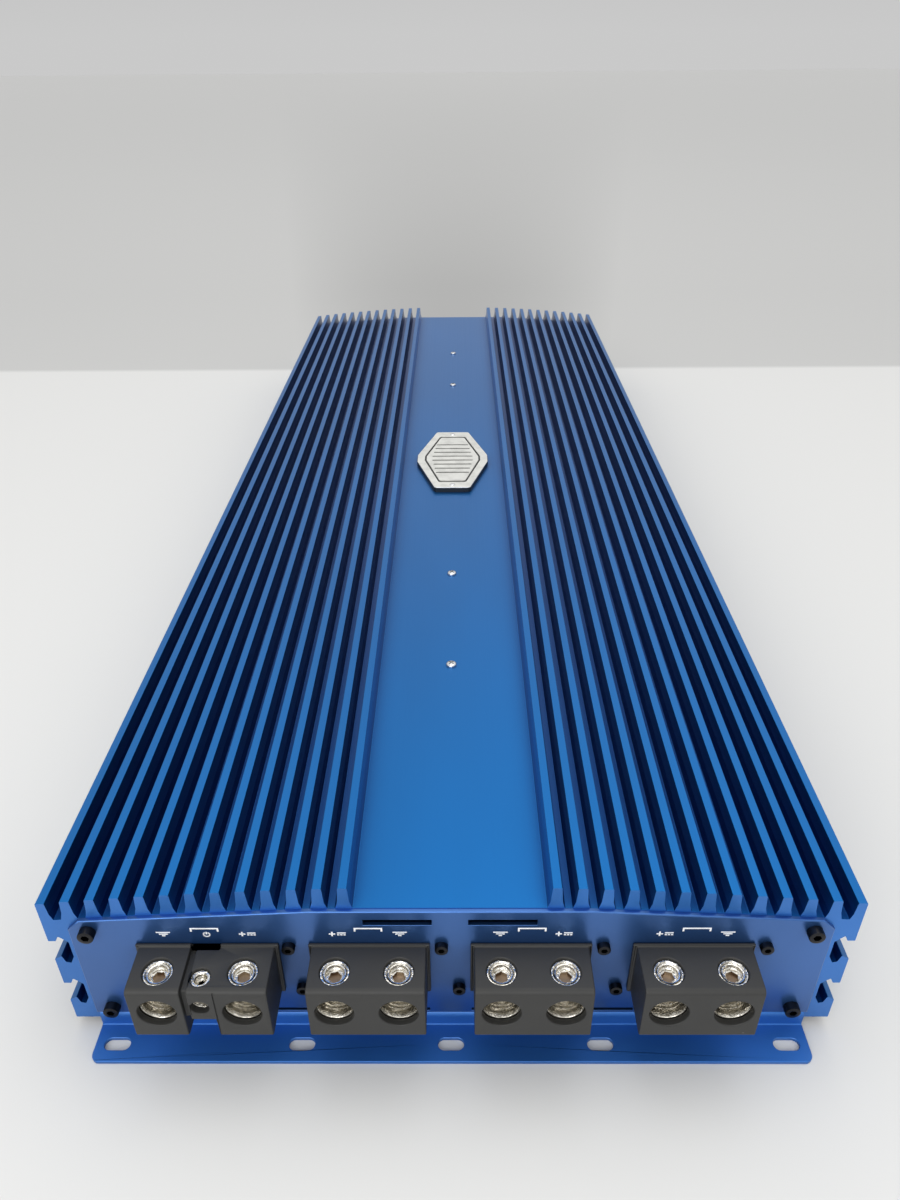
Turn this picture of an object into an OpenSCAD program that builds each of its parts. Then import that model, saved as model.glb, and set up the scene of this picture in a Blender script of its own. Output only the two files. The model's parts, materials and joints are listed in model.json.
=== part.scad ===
// Large monoblock car amplifier.
// Frame: the length runs along Y, the power terminals face -Y and the controls face +Y.
// The origin is on the surface the amplifier stands on, under the middle of the case.

/* [Case] */
// Width of the heatsink across its side ribs
body_w = 275; // [274:1:280]
// Length of the heatsink extrusion
body_l = 730; // [720:2:900]
// Height of the outermost fin tips above the floor
edge_h = 65.6; // [65:0.2:72]
// Width of the flat strip between the two banks of fins
strip_w = 64; // [62:1:68]

/* [Fins] */
// Number of fins on each side of the strip
fin_count = 13; // [6:1:13]
// Thickness of a fin at its tip
fin_tip_w = 3.1; // [2:0.1:3.4]
// Thickness of a fin at its root
fin_root_w = 5.7; // [5:0.1:6]
// How far the fin tips rise from the edge of the case to its middle
tip_crown = 8.1; // [6:0.1:9]
// How far the groove floors rise from the edge of the case to its middle
floor_crown = 6.9; // [6:0.1:7.5]

/* [Sheet metal] */
// Thickness of the two end plates
end_plate_t = 1.5; // [1:0.1:2]
// Thickness of the bottom plate
bottom_plate_t = 2; // [1.5:0.1:2]
// Thickness of the mounting brackets
bracket_t = 1.5; // [1.2:0.1:2]
// How far a bracket's foot reaches out from the end of the case
foot_reach = 15.8; // [15:0.1:18]
// Length of a mounting slot
slot_l = 9.4; // [8:0.1:11]
// Width of a mounting slot
slot_w = 4.6; // [4:0.1:5.2]
// Distance from the middle to the inner pair of mounting slots
slot_x_inner = 53.5; // [50:0.5:58]
// Distance from the middle to the outer pair of mounting slots
slot_x_outer = 120; // [112:0.5:121]

/* [Terminals] */
// Distance between neighbouring terminal blocks
block_pitch = 55; // [54:0.5:56]
// Width of a two-way terminal block
block_w = 38.8; // [37:0.1:39.4]
// Height of a terminal block
block_h = 24.2; // [23:0.1:25]
// How far a terminal block stands out from its end plate
block_d = 18.5; // [17:0.1:20]
// Distance between the two wire holes of a two-way block
way_pitch = 21.2; // [20:0.1:21.5]
// Radius of the wire bore in a clamp
wire_r = 5.5; // [5:0.1:5.6]
// Radius of a clamp's set screw
set_screw_r = 3.95; // [3.5:0.05:4]

/* [Controls] */
// Radius of a control knob
knob_r = 6; // [5:0.1:6.5]
// Distance between neighbouring knobs
knob_pitch = 21; // [18:0.5:22]
// Travel of the phase switch from end to end
switch_travel = 3; // [2:0.1:3.5]

/* [Badge] */
// Width of the badge
badge_w = 47; // [40:1:50]
// Length of the badge
badge_l = 93; // [80:1:100]

/* [Hidden] */
$fn = 48;
gap = 0.1;                       // clearance left round a piece that sits in a pocket
over = 1;                        // how far a cutting shape runs past what it cuts

// Case levels, all above the floor
half_w = body_w / 2;
end_y = body_l / 2;
strip_z = edge_h - 1.9;
strip_t = 3.4;
slab_t = 4.5;
case_bottom_z = edge_h - 61.9;
ledge_z = edge_h - 55.2;         // underside of the ledges that the bottom plate closes on
ledge_t = 3.8;
board_z = ledge_z + ledge_t;     // underside of the main board
board_t = 1.6;
board_top = board_z + board_t;
plate_bottom_z = ledge_z - bottom_plate_t;

// Case section, out from the middle
wall_out = half_w - 6.9;
wall_in = half_w - 10.9;
port_in = half_w - 20.5;
ledge_in = half_w - 27.5;
lip_w = 2.6;                     // thickness of a side rib's lip
rib_tops = [-28.5, -51.6];       // tops of the two lower side ribs, below the fin tips
rib_bottoms = [-18.9, -41.9];    // undersides of the two upper side ribs

// Screw ports for the end plates
port_x = half_w - 15.7;
port_zs = [edge_h - 53.2, edge_h - 11.8];
port_block = 4.8;                // metal left beside a port
m3_r = 1.45;
m3_hole_r = 1.5;
m3_clear_r = 1.7;
cap_head = [2.75, 3];            // radius and height of a socket-head M3
pan_head = [2.35, 1.6];          // radius and height of a small pan head

// Terminal blocks, in the frame of one end: y = 0 is the end of the extrusion, -y is outward
block_top_z = edge_h - 18.3;
wire_z = edge_h - 29.6;
front_y = -end_plate_t - block_d;
screw_y = -end_plate_t - 10.6;
block_xs = [for (i = [0:3]) (i - 1.5) * block_pitch];
face_hole_r = 6.5;
top_hole_r = 5.05;
collar_r = 4.9;
clamp_w = 15;                    // width and height of a clamp's brass body
clamp_front = 2.6;               // plastic in front of a clamp
clamp_l = 14.4;
bore_l = 12;
collar_top = block_top_z - 1;
set_screw_l = 4.4;
set_screw_top = wire_z + wire_r + 0.15 + set_screw_l;
stud_r = 3;
fix_dx = 24.5;                   // fixing screws, out from the middle of a two-way block
fix_dx_triple = 27.6;
fix_zs = [edge_h - 41.7, edge_h - 19.5];
lug_w = 46.2;                    // width of the three-way block
lug_dx = 14.1;                   // its two large ways, out from its middle
remote_dx = 0.5;                 // its small way
remote_z = edge_h - 26.6;
remote_bottom_z = edge_h - 33.8;
remote_r = 2.6;
remote_screw_r = 1.95;
remote_screw_y = -end_plate_t - 12.7;
remote_screw_l = 3.6;
remote_clamp = 8;
plus_ways = [block_xs[0] + lug_dx, block_xs[1] - way_pitch / 2,
             block_xs[2] + way_pitch / 2, block_xs[3] - way_pitch / 2];
minus_ways = [block_xs[0] - lug_dx, block_xs[1] + way_pitch / 2,
              block_xs[2] - way_pitch / 2, block_xs[3] + way_pitch / 2];
speaker_xs = [block_xs[0], block_xs[1]];

// Bus bars behind the power terminals
ground_bus_y = 7;
plus_bus_y = 14;
bus_t = 2;
bus_h = 9;

// Controls, in the frame of the control end
knob_xs = [for (i = [0:3]) 22 + i * knob_pitch];
knob_z = edge_h - 20;
jack_z = edge_h - 41;
jack_xs = [for (i = [0:3]) 22 + i * 17];
jack_r = 4.15;
jack_reach = 12;
remote_jack_x = 98;
switch_x = 103;
led_x = 5;
led_zs = [edge_h - 18, edge_h - 26];

// Inside
pad_t = 0.5;
package = [16, 5, 21];           // width, thickness and height of one transistor
package_z = ledge_z + 12;
package_pitch = 20;
packages = 12;
bank_y = 190;                    // middle of each transistor bank, from the middle of the case
bank_l = packages * package_pitch;
bar_t = 1.5;
bar_h = 9;
bar_z = package_z + package[2] / 2;
clamp_screw_is = [0.5, 3.5, 7.5, 10.5];
edge_screw_ys = [for (s = [-1, 1]) for (y = [62, 190, 318]) s * y];
cover_screw_ys = [for (s = [-1, 1]) for (y = [20, 128, 236, 336]) s * y];
ledge_screw_x = half_w - 24;
foot_screw_xs = [-ledge_screw_x, -40, 40, ledge_screw_x];
strip_screw_ys = [-230, -148, 156, 242];
foot_leg = 20;
foot_screw_y = 10;
badge_t = 3;
badge_rivet_y = badge_l / 2 - 4.5;

blue = [0.10, 0.36, 0.70];
plate_blue = [0.17, 0.34, 0.66];
black = [0.09, 0.09, 0.10];
nickel = [0.78, 0.77, 0.74];
steel = [0.60, 0.61, 0.63];
copper = [0.72, 0.42, 0.25];
green = [0.08, 0.30, 0.16];

// ---- placing helpers

// Puts its children in the frame of the power end.
module at_power_end() {
    translate([0, -end_y, 0]) children();
}

// Puts its children in the frame of the control end, seen from outside it.
module at_control_end() {
    rotate([0, 0, 180]) translate([0, -end_y, 0]) children();
}

// Turns a shape drawn along +Z so that it runs along +Y.
module along_y() {
    rotate([-90, 0, 0]) children();
}

// A box centred on x = 0, from y0 to y1 and from z0 to z1.
module slab(w, y0, y1, z0, z1) {
    translate([-w / 2, y0, z0]) cube([w, y1 - y0, z1 - z0]);
}

// ---- fasteners, drawn along +Z: the head is below z = 0 and the shank above it

module socket_screw(r, l, head, key) {
    difference() {
        union() {
            cylinder(r = r, h = l);
            translate([0, 0, -head[1]]) cylinder(r = head[0], h = head[1]);
        }
        translate([0, 0, -head[1] - over]) cylinder(r = key, h = over + head[1] * 0.6, $fn = 6);
    }
}

module pan_screw(r, l, head) {
    slot = [head[0] * 1.3, 0.6];
    difference() {
        union() {
            cylinder(r = r, h = l);
            translate([0, 0, -head[1]])
                cylinder(r1 = head[0] * 0.8, r2 = head[0], h = head[1] * 0.4);
            translate([0, 0, -head[1] * 0.6]) cylinder(r = head[0], h = head[1] * 0.6);
        }
        for (turn = [0, 90])
            rotate([0, 0, turn])
                translate([-slot[0] / 2, -slot[1] / 2, -head[1] - over])
                    cube([slot[0], slot[1], over + head[1] * 0.6]);
    }
}

module countersunk_screw(r, l, head_r) {
    cylinder(r = r, h = l);
    cylinder(r1 = head_r, r2 = r, h = head_r - r);
}

// ---- heatsink

// Height of the fin tips and of the groove floors at a distance x from the middle.
function tip_z(x) = edge_h + tip_crown * (1 - pow(x / half_w, 2));
function floor_z(x) = strip_z + 0.4 - floor_crown * pow(x / half_w, 2);

fin_x_out = half_w - fin_tip_w / 2;
fin_x_in = strip_w / 2 + fin_root_w / 2 + 0.3;
function fin_x(i) = fin_x_out + (fin_x_in - fin_x_out) * i / (fin_count - 1);

root_h = 3;                      // height of the flare at a fin's root
neck_w = fin_tip_w + 0.9;        // thickness of a fin just above its flare

function fin_inner_side(x) = [
    [x - fin_root_w / 2, floor_z(x - fin_root_w / 2)],
    [x - neck_w / 2, floor_z(x) + root_h],
    [x - fin_tip_w / 2, tip_z(x)]
];
function fin_outer_side(x) = [
    [x + fin_tip_w / 2, tip_z(x)],
    [x + neck_w / 2, floor_z(x) + root_h],
    [x + fin_root_w / 2, floor_z(x + fin_root_w / 2)]
];

// Underside of a side rib, with the lip that hangs at its outer edge.
function rib_under(drop) = [
    [half_w, edge_h + drop],
    [half_w - lip_w, edge_h + drop],
    [half_w - lip_w - 1.1, edge_h + drop + 2.4],
    [half_w - lip_w - 2.8, edge_h + drop + 1],
    [wall_out, edge_h + drop - 0.7]
];
// Top of a side rib, with the gutter between its upturned edge and the wall.
function rib_over(drop) = [
    [wall_out, edge_h + drop + 1.2],
    [wall_out + 1.6, edge_h + drop - 2.1],
    [half_w - lip_w - 1, edge_h + drop - 1.6],
    [half_w - lip_w, edge_h + drop + 1.6],
    [half_w, edge_h + drop]
];

ceiling_steps = 8;
standoff_flat = 6;               // half the width of the flat under the strip, where the standoffs end
function ceiling_x(i) = port_in + (strip_w / 2 - port_in) * i / ceiling_steps;

// One half of the case section, from the top of the strip round to the cavity's ceiling.
half_section = concat(
    [[0, strip_z], [strip_w / 2, strip_z]],
    [for (i = [fin_count - 1:-1:1]) each concat(fin_inner_side(fin_x(i)), fin_outer_side(fin_x(i)))],
    fin_inner_side(fin_x(0)),
    [[half_w, edge_h]],
    rib_under(rib_bottoms[0]),
    rib_over(rib_tops[0]),
    rib_under(rib_bottoms[1]),
    rib_over(rib_tops[1]),
    [[half_w, case_bottom_z], [wall_in, case_bottom_z],
     [wall_in, ledge_z], [ledge_in, ledge_z], [ledge_in, board_z], [port_in, board_z],
     [port_in, port_zs[0] + port_block], [wall_in, port_zs[0] + port_block],
     [wall_in, port_zs[1] - port_block], [port_in, port_zs[1] - port_block]],
    [for (i = [0:ceiling_steps]) [ceiling_x(i), floor_z(ceiling_x(i)) - slab_t]],
    [[standoff_flat, strip_z - strip_t], [0, strip_z - strip_t]]
);
function mirrored(points) = [for (i = [len(points) - 2:-1:1]) [-points[i][0], points[i][1]]];

module heatsink() {
    color(blue) difference() {
        along_y() mirror([0, 1, 0]) translate([0, 0, -end_y])
            linear_extrude(height = body_l) polygon(concat(half_section, mirrored(half_section)));
        for (x = [-port_x, port_x])
            for (z = port_zs)
                translate([x, -end_y - over, z]) along_y() cylinder(r = m3_hole_r, h = body_l + 2 * over);
        for (x = [-ledge_screw_x, ledge_screw_x])
            for (y = concat(edge_screw_ys, cover_screw_ys, [-end_y + foot_screw_y, end_y - foot_screw_y]))
                translate([x, y, ledge_z - over]) cylinder(r = m3_hole_r, h = ledge_t + 2 * over);
        for (y = strip_screw_ys)
            translate([0, y, strip_z - strip_t - over]) cylinder(r = m3_clear_r, h = strip_t + 2 * over);
        for (y = [-badge_rivet_y, badge_rivet_y])
            translate([0, y, strip_z - strip_t - over]) cylinder(r = 1, h = strip_t + 2 * over);
        each_clamp_screw(wall_in - over) cylinder(r = m3_hole_r, h = 3 + over);
    }
}

// ---- sheet metal

// Outline shared by both end plates: sloped shoulders and chamfered top corners.
plate_half_w = half_w - 8.9;
plate_outline = [
    [-plate_half_w, plate_bottom_z + gap], [plate_half_w, plate_bottom_z + gap],
    [plate_half_w, edge_h - 11.2], [plate_half_w - 4.3, edge_h - 6.9],
    [47, edge_h - 2.2], [-47, edge_h - 2.2],
    [-plate_half_w + 4.3, edge_h - 6.9], [-plate_half_w, edge_h - 11.2]
];
vents = [                        // thin slots in the plate: middle x, middle z, width and height
    [17.6, edge_h - 7.5, 23, 2.7],
    [36.5, ledge_z + 0.2, 58, 1.5]
];

module end_plate_blank() {
    difference() {
        along_y() mirror([0, 1, 0]) translate([0, 0, -end_plate_t])
            linear_extrude(height = end_plate_t) polygon(plate_outline);
        for (x = [-port_x, port_x])
            for (z = port_zs)
                plate_hole(x, z, m3_clear_r);
        for (v = vents)
            for (s = [-1, 1])
                translate([s * v[0], 0, v[1]]) slab(v[2], -end_plate_t - over, over, -v[3] / 2, v[3] / 2);
    }
}

module plate_hole(x, z, r) {
    translate([x, -end_plate_t - over, z]) along_y() cylinder(r = r, h = end_plate_t + 2 * over);
}

module block_window(x, w, dx) {
    translate([x, 0, 0])
        slab(w + 2 * gap, -end_plate_t - over, over, block_top_z - block_h - gap, block_top_z + gap);
    plate_hole(x - dx, fix_zs[0], 1.35);
    plate_hole(x + dx, fix_zs[1], 1.35);
}

module power_end_plate() {
    color(plate_blue) at_power_end() difference() {
        end_plate_blank();
        block_window(block_xs[0], lug_w, fix_dx_triple);
        for (i = [1:3])
            block_window(block_xs[i], block_w, fix_dx);
    }
}

module control_end_plate() {
    color(plate_blue) at_control_end() difference() {
        end_plate_blank();
        for (x = speaker_xs)
            block_window(x, block_w, fix_dx);
        for (x = knob_xs)
            plate_hole(x, knob_z, bushing_r + gap);
        for (x = jack_xs)
            plate_hole(x, jack_z, jack_r + gap);
        for (z = led_zs)
            plate_hole(led_x, z, led_r + gap);
        translate([remote_jack_x, 0, remote_jack_z])
            slab(jack_box[0] + 2 * gap, -end_plate_t - over, over,
                 -jack_box[2] / 2 - gap, jack_box[2] / 2 + gap);
        translate([switch_x, 0, knob_z])
            slab(lever[0] + switch_travel + 1, -end_plate_t - over, over,
                 -lever[2] / 2 - 0.5, lever[2] / 2 + 0.5);
    }
}

module bottom_plate() {
    margin = 0.4;
    color(black) difference() {
        slab(2 * (wall_in - margin), -end_y + gap, end_y - gap, plate_bottom_z, ledge_z);
        for (x = [-ledge_screw_x, ledge_screw_x])
            for (y = cover_screw_ys)
                translate([x, y, plate_bottom_z]) {
                    translate([0, 0, -over]) cylinder(r = m3_clear_r, h = bottom_plate_t + 2 * over);
                    translate([0, 0, -gap]) cylinder(r1 = 3.1, r2 = m3_clear_r, h = 1.4);
                }
        for (s = [-1, 1])
            for (x = foot_screw_xs)
                translate([x, s * (end_y - foot_screw_y), plate_bottom_z - over])
                    cylinder(r = m3_hole_r, h = bottom_plate_t + 2 * over);
    }
}

// One mounting bracket: a leg under the bottom plate, a riser and a slotted foot on the floor.
module bracket() {
    foot_w = 2 * (half_w - 9.6);
    leg_w = 2 * (half_w - 13.5);
    corner = 3;
    slot_y = -bracket_t - (foot_reach - bracket_t) * 0.54;
    difference() {
        union() {
            slab(leg_w, -bracket_t, foot_leg, plate_bottom_z - bracket_t, plate_bottom_z);
            slab(foot_w, -bracket_t, 0, 0, plate_bottom_z);
            slab(foot_w, -foot_reach + corner, 0, 0, bracket_t);
            slab(foot_w - 2 * corner, -foot_reach, 0, 0, bracket_t);
            for (s = [-1, 1])
                translate([s * (foot_w / 2 - corner), -foot_reach + corner, 0])
                    cylinder(r = corner, h = bracket_t);
        }
        for (x = [-slot_x_outer, -slot_x_inner, 0, slot_x_inner, slot_x_outer])
            translate([x, slot_y, -over]) {
                for (s = [-1, 1])
                    translate([s * (slot_l - slot_w) / 2, 0, 0])
                        cylinder(r = slot_w / 2, h = bracket_t + 2 * over);
                slab(slot_l - slot_w, -slot_w / 2, slot_w / 2, 0, bracket_t + 2 * over);
            }
        for (x = foot_screw_xs)
            translate([x, foot_screw_y, plate_bottom_z - bracket_t - over])
                cylinder(r = m3_clear_r, h = bracket_t + 2 * over);
    }
}

module power_bracket() {
    color(blue) at_power_end() bracket();
}

module control_bracket() {
    color(blue) at_control_end() bracket();
}

// ---- fasteners of the case

module plate_screw_set() {
    for (x = [-port_x, port_x])
        for (z = port_zs)
            translate([x, -end_plate_t, z]) along_y() socket_screw(m3_r, 12, cap_head, 1.45);
}

module end_plate_screws() {
    color(black) {
        at_power_end() plate_screw_set();
        at_control_end() plate_screw_set();
    }
}

module bottom_plate_screws() {
    color(black)
        for (x = [-ledge_screw_x, ledge_screw_x])
            for (y = cover_screw_ys)
                translate([x, y, plate_bottom_z])
                    countersunk_screw(m3_r, bottom_plate_t + ledge_t - 0.4, 2.8);
}

module bracket_screws() {
    color(black)
        for (s = [-1, 1])
            for (x = foot_screw_xs)
                translate([x, s * (end_y - foot_screw_y), plate_bottom_z - bracket_t])
                    pan_screw(m3_r, bracket_t + bottom_plate_t + (abs(x) > 50 ? ledge_t - 0.4 : 1), pan_head);
}

// The two fixing screws of one terminal block, on its diagonal.
module block_screw_pair(x, dx) {
    for (i = [0, 1])
        translate([x + (2 * i - 1) * dx, -end_plate_t, fix_zs[i]]) along_y()
            socket_screw(1.2, end_plate_t + ear_t - 0.5, [2.25, 2.2], 1.2);
}

module terminal_screws() {
    color(black) {
        at_power_end() {
            block_screw_pair(block_xs[0], fix_dx_triple);
            for (i = [1:3])
                block_screw_pair(block_xs[i], fix_dx);
        }
        at_control_end()
            for (x = speaker_xs)
                block_screw_pair(x, fix_dx);
    }
}

module strip_screws() {
    color(nickel)
        for (y = strip_screw_ys)
            translate([0, y, strip_z]) rotate([180, 0, 0]) pan_screw(m3_r, strip_t + 6, pan_head);
}

// ---- badge: a plain plate with cut corners, standing on the strip

badge_end = 11.2;                // half the width of its straight ends
badge_side = 5.5;                // half the length of its straight sides
module badge_outline(inset) {
    w = badge_w / 2 - inset;
    l = badge_l / 2 - inset * 1.7;
    e = badge_end - inset * 0.5;
    s = badge_side - inset * 0.4;
    polygon([[-e, -l], [e, -l], [w, -s], [w, s], [e, l], [-e, l], [-w, s], [-w, -s]]);
}

module badge_plate() {
    groove = [5, 5.8];           // the dark line that runs round inside the rim
    color(nickel) translate([0, 0, strip_z]) difference() {
        linear_extrude(height = badge_t) badge_outline(0);
        translate([0, 0, badge_t - 0.5]) linear_extrude(height = over) difference() {
            badge_outline(groove[0]);
            badge_outline(groove[1]);
        }
        for (y = [-badge_rivet_y, badge_rivet_y])
            translate([0, y, -over]) cylinder(r = 1.1, h = badge_t + 2 * over);
    }
}

module badge_rivets() {
    color(steel)
        for (y = [-badge_rivet_y, badge_rivet_y])
            translate([0, y, strip_z - strip_t]) {
                cylinder(r = 0.95, h = strip_t + badge_t);
                translate([0, 0, strip_t + badge_t]) cylinder(r = 1.8, h = 0.6);
            }
}

// ---- terminal blocks

ear_t = 4;                       // thickness of a block's flange behind the plate
edge_r = 1.9;                    // rounding of a block's front edges
base_lip = 1.2;                  // the step where a block meets the plate

// A block's solid, from z0 up to its top: rounded front edges, and a lip against the plate.
module block_solid(w, z0) {
    h = block_top_z - z0;
    translate([-w / 2, 0, 0]) rotate([90, 0, 90]) linear_extrude(height = w) {
        translate([front_y + edge_r, z0]) square([-front_y - edge_r, h]);
        translate([front_y, z0 + edge_r]) square([-front_y, h - 2 * edge_r]);
        for (z = [z0 + edge_r, block_top_z - edge_r])
            translate([front_y + edge_r, z]) circle(r = edge_r);
    }
    slab(w + 2 * base_lip, -end_plate_t - base_lip, -end_plate_t,
         z0 - base_lip / 2, block_top_z + base_lip / 2);
}

// The flange behind the plate, with two ears for the fixing screws.
module block_flange(w, dx) {
    ear_r = 3.4;
    bottom = block_top_z - block_h;
    slab(w, 0, ear_t, bottom, block_top_z);
    for (i = [0, 1]) {
        s = 2 * i - 1;
        translate([s * dx, 0, fix_zs[i]]) along_y() cylinder(r = ear_r, h = ear_t);
        translate([s * (dx + w / 2 - 1) / 2, 0, 0])
            slab(dx - w / 2 + 1, 0, ear_t, fix_zs[i] - ear_r, fix_zs[i] + ear_r);
    }
}

// A brass clamp's outline: a square body, a round collar up to the top hole and a stud behind.
module clamp_solid(grow, stud) {
    y0 = front_y + clamp_front - grow;
    slab(clamp_w + 2 * grow, y0, y0 + clamp_l + 2 * grow,
         wire_z - clamp_w / 2 - grow, wire_z + clamp_w / 2 + grow);
    translate([0, screw_y, wire_z]) cylinder(r = collar_r + grow / 2, h = collar_top - wire_z);
    translate([0, y0 + clamp_l, wire_z]) along_y() cylinder(r = stud_r + grow, h = stud - y0 - clamp_l);
}

// A clamp with its wire bore and the tapped hole for its set screw.
module wire_clamp(stud) {
    y0 = front_y + clamp_front;
    difference() {
        clamp_solid(0, stud);
        translate([0, y0 - over, wire_z]) along_y() cylinder(r = wire_r, h = bore_l + over);
        translate([0, screw_y, wire_z]) cylinder(r = set_screw_r + 0.05, h = clamp_w);
    }
}

module remote_clamp_solid(grow) {
    y0 = front_y + 3 - grow;
    slab(remote_clamp + 2 * grow, y0, y0 + 11 + 2 * grow, remote_z - 4 - grow, remote_z + 4 + grow);
    translate([0, remote_screw_y, remote_z]) cylinder(r = 3.2 + grow / 2, h = collar_top - remote_z);
    translate([0, y0, remote_z]) along_y() cylinder(r = 1.2 + grow, h = ground_bus_y + 4 - y0);
}

module remote_wire_clamp() {
    difference() {
        remote_clamp_solid(0);
        translate([0, front_y, remote_z]) along_y() cylinder(r = remote_r, h = 12);
        translate([0, remote_screw_y, remote_z]) cylinder(r = remote_screw_r + 0.05, h = clamp_w);
    }
}

// Room for one large way: the clamp's pocket and the two round openings.
module large_way_cut(stud) {
    clamp_solid(gap, stud + over);
    translate([0, front_y - over, wire_z]) along_y() cylinder(r = face_hole_r, h = clamp_front + 2 * over);
    translate([0, screw_y, wire_z]) cylinder(r = top_hole_r, h = clamp_w);
}

module small_way_cut() {
    remote_clamp_solid(gap);
    translate([0, front_y - over, remote_z]) along_y() cylinder(r = 3.1, h = 3 + 2 * over);
    translate([0, remote_screw_y, remote_z]) cylinder(r = 3.35, h = clamp_w);
}

module fixing_holes(dx) {
    for (i = [0, 1])
        translate([(2 * i - 1) * dx, -over, fix_zs[i]]) along_y() cylinder(r = 1.25, h = ear_t + 2 * over);
}

module double_block() {
    difference() {
        union() {
            block_solid(block_w, block_top_z - block_h);
            block_flange(block_w, fix_dx);
        }
        for (s = [-1, 1])
            translate([s * way_pitch / 2, 0, 0]) large_way_cut(plus_bus_y);
        fixing_holes(fix_dx);
    }
}

module triple_block() {
    side_w = 17.8;               // width of each of the two large ways
    groove = [2.2, 2];           // width and depth of the groove beside the ground way
    notch = [8.4, 2.3, 3];       // width, depth and height of the notch behind the small way
    side_x = (lug_w - side_w) / 2;
    difference() {
        union() {
            for (s = [-1, 1])
                translate([s * side_x, 0, 0]) block_solid(side_w, block_top_z - block_h);
            block_solid(lug_w - side_w, remote_bottom_z);
            block_flange(lug_w, fix_dx_triple);
        }
        for (s = [-1, 1])
            translate([s * lug_dx, 0, 0]) large_way_cut(plus_bus_y);
        translate([remote_dx, 0, 0]) small_way_cut();
        // a groove parts the ground way from the small one
        translate([-lug_w / 2 + side_w + groove[0] / 2, 0, 0]) {
            slab(groove[0], front_y - over, front_y + groove[1], edge_h - 50, block_top_z + over);
            slab(groove[0], front_y, -end_plate_t, block_top_z - groove[1], block_top_z + over);
        }
        translate([remote_dx, 0, 0])
            slab(notch[0], -end_plate_t - notch[1], -end_plate_t,
                 block_top_z - notch[2], block_top_z + over);
        fixing_holes(fix_dx_triple);
    }
}

module remote_power_block() {
    color(black) at_power_end() translate([block_xs[0], 0, 0]) triple_block();
}

module power_block(i) {
    color(black) at_power_end() translate([block_xs[i], 0, 0]) double_block();
}

module speaker_block(i) {
    color(black) at_control_end() translate([speaker_xs[i], 0, 0]) double_block();
}

module wire_clamps() {
    color(nickel) {
        at_power_end() {
            for (x = minus_ways)
                translate([x, 0, 0]) wire_clamp(ground_bus_y + bus_t + 4);
            for (x = plus_ways)
                translate([x, 0, 0]) wire_clamp(plus_bus_y + bus_t + 4);
            translate([block_xs[0] + remote_dx, 0, 0]) remote_wire_clamp();
        }
        at_control_end()
            for (x = speaker_xs)
                for (s = [-1, 1])
                    translate([x + s * way_pitch / 2, 0, 0]) wire_clamp(ear_t + 3);
    }
}

// A headless screw with a hex socket; its top is at z = 0.
module grub_screw(r, l, key) {
    translate([0, 0, -l]) difference() {
        cylinder(r = r, h = l);
        translate([0, 0, l * 0.3]) cylinder(r = key, h = l, $fn = 6);
    }
}

// The set screws of the power end are numbered from left to right.
power_way_xs = [minus_ways[0], plus_ways[0], plus_ways[1], minus_ways[1],
                minus_ways[2], plus_ways[2], plus_ways[3], minus_ways[3]];

module set_screw(i) {
    color(nickel) at_power_end() translate([power_way_xs[i - 1], screw_y, set_screw_top])
        grub_screw(set_screw_r, set_screw_l, 2.3);
}

module remote_set_screw() {
    color(nickel) at_power_end()
        translate([block_xs[0] + remote_dx, remote_screw_y, remote_z + remote_r + 0.15 + remote_screw_l])
            grub_screw(remote_screw_r, remote_screw_l, 1.5);
}

module speaker_set_screw(i) {
    s = i % 2 == 1 ? -1 : 1;
    color(nickel) at_control_end()
        translate([speaker_xs[i > 2 ? 1 : 0] + s * way_pitch / 2, screw_y, set_screw_top])
            grub_screw(set_screw_r, set_screw_l, 2.3);
}

// ---- bus bars

// A copper bar across the row of studs, with a lug at each stud it joins and feet on the board.
module bus_bar(y, ways, bar_z0, foot_xs) {
    lug = 12;
    x0 = min(ways) - lug / 2;
    x1 = max(ways) + lug / 2;
    difference() {
        union() {
            translate([x0, y, bar_z0]) cube([x1 - x0, bus_t, bus_h]);
            for (x = ways)
                translate([x, 0, 0])
                    slab(lug, y, y + bus_t,
                         min(bar_z0, wire_z - lug / 2), max(bar_z0 + bus_h, wire_z + lug / 2));
            for (x = foot_xs)
                translate([x, 0, 0]) slab(8, y, y + bus_t, board_top, bar_z0 + bus_h);
        }
        for (x = ways)
            translate([x, y - over, wire_z]) along_y() cylinder(r = stud_r + gap, h = bus_t + 2 * over);
    }
}

module ground_bus() {
    color(copper) at_power_end() bus_bar(ground_bus_y, minus_ways, board_top + 2, minus_ways);
}

module plus_bus() {
    color(copper) at_power_end() bus_bar(plus_bus_y, plus_ways, wire_z + 4, [-45, 45]);
}

module bus_nuts() {
    nut_r = 5.5;
    nut_h = 3.5;
    color(steel) at_power_end() {
        for (x = minus_ways)
            stud_nut(x, ground_bus_y + bus_t, nut_r, nut_h);
        for (x = plus_ways)
            stud_nut(x, plus_bus_y + bus_t, nut_r, nut_h);
    }
}

module stud_nut(x, y, r, h) {
    translate([x, y, wire_z]) along_y() difference() {
        cylinder(r = r, h = h, $fn = 6);
        translate([0, 0, -over]) cylinder(r = stud_r + gap / 2, h = h + 2 * over);
    }
}

// ---- controls

bushing_r = 4;
shaft_r = 3;
led_r = 1.5;
jack_box = [13, 14, 11];         // width, depth and height of the remote level jack
lever = [3, 6, 3];
control_board_z = jack_z - 6;
control_board = [108, 50];
remote_jack_z = control_board_z + board_t + jack_box[2] / 2;
pot_w = 16;

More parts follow.
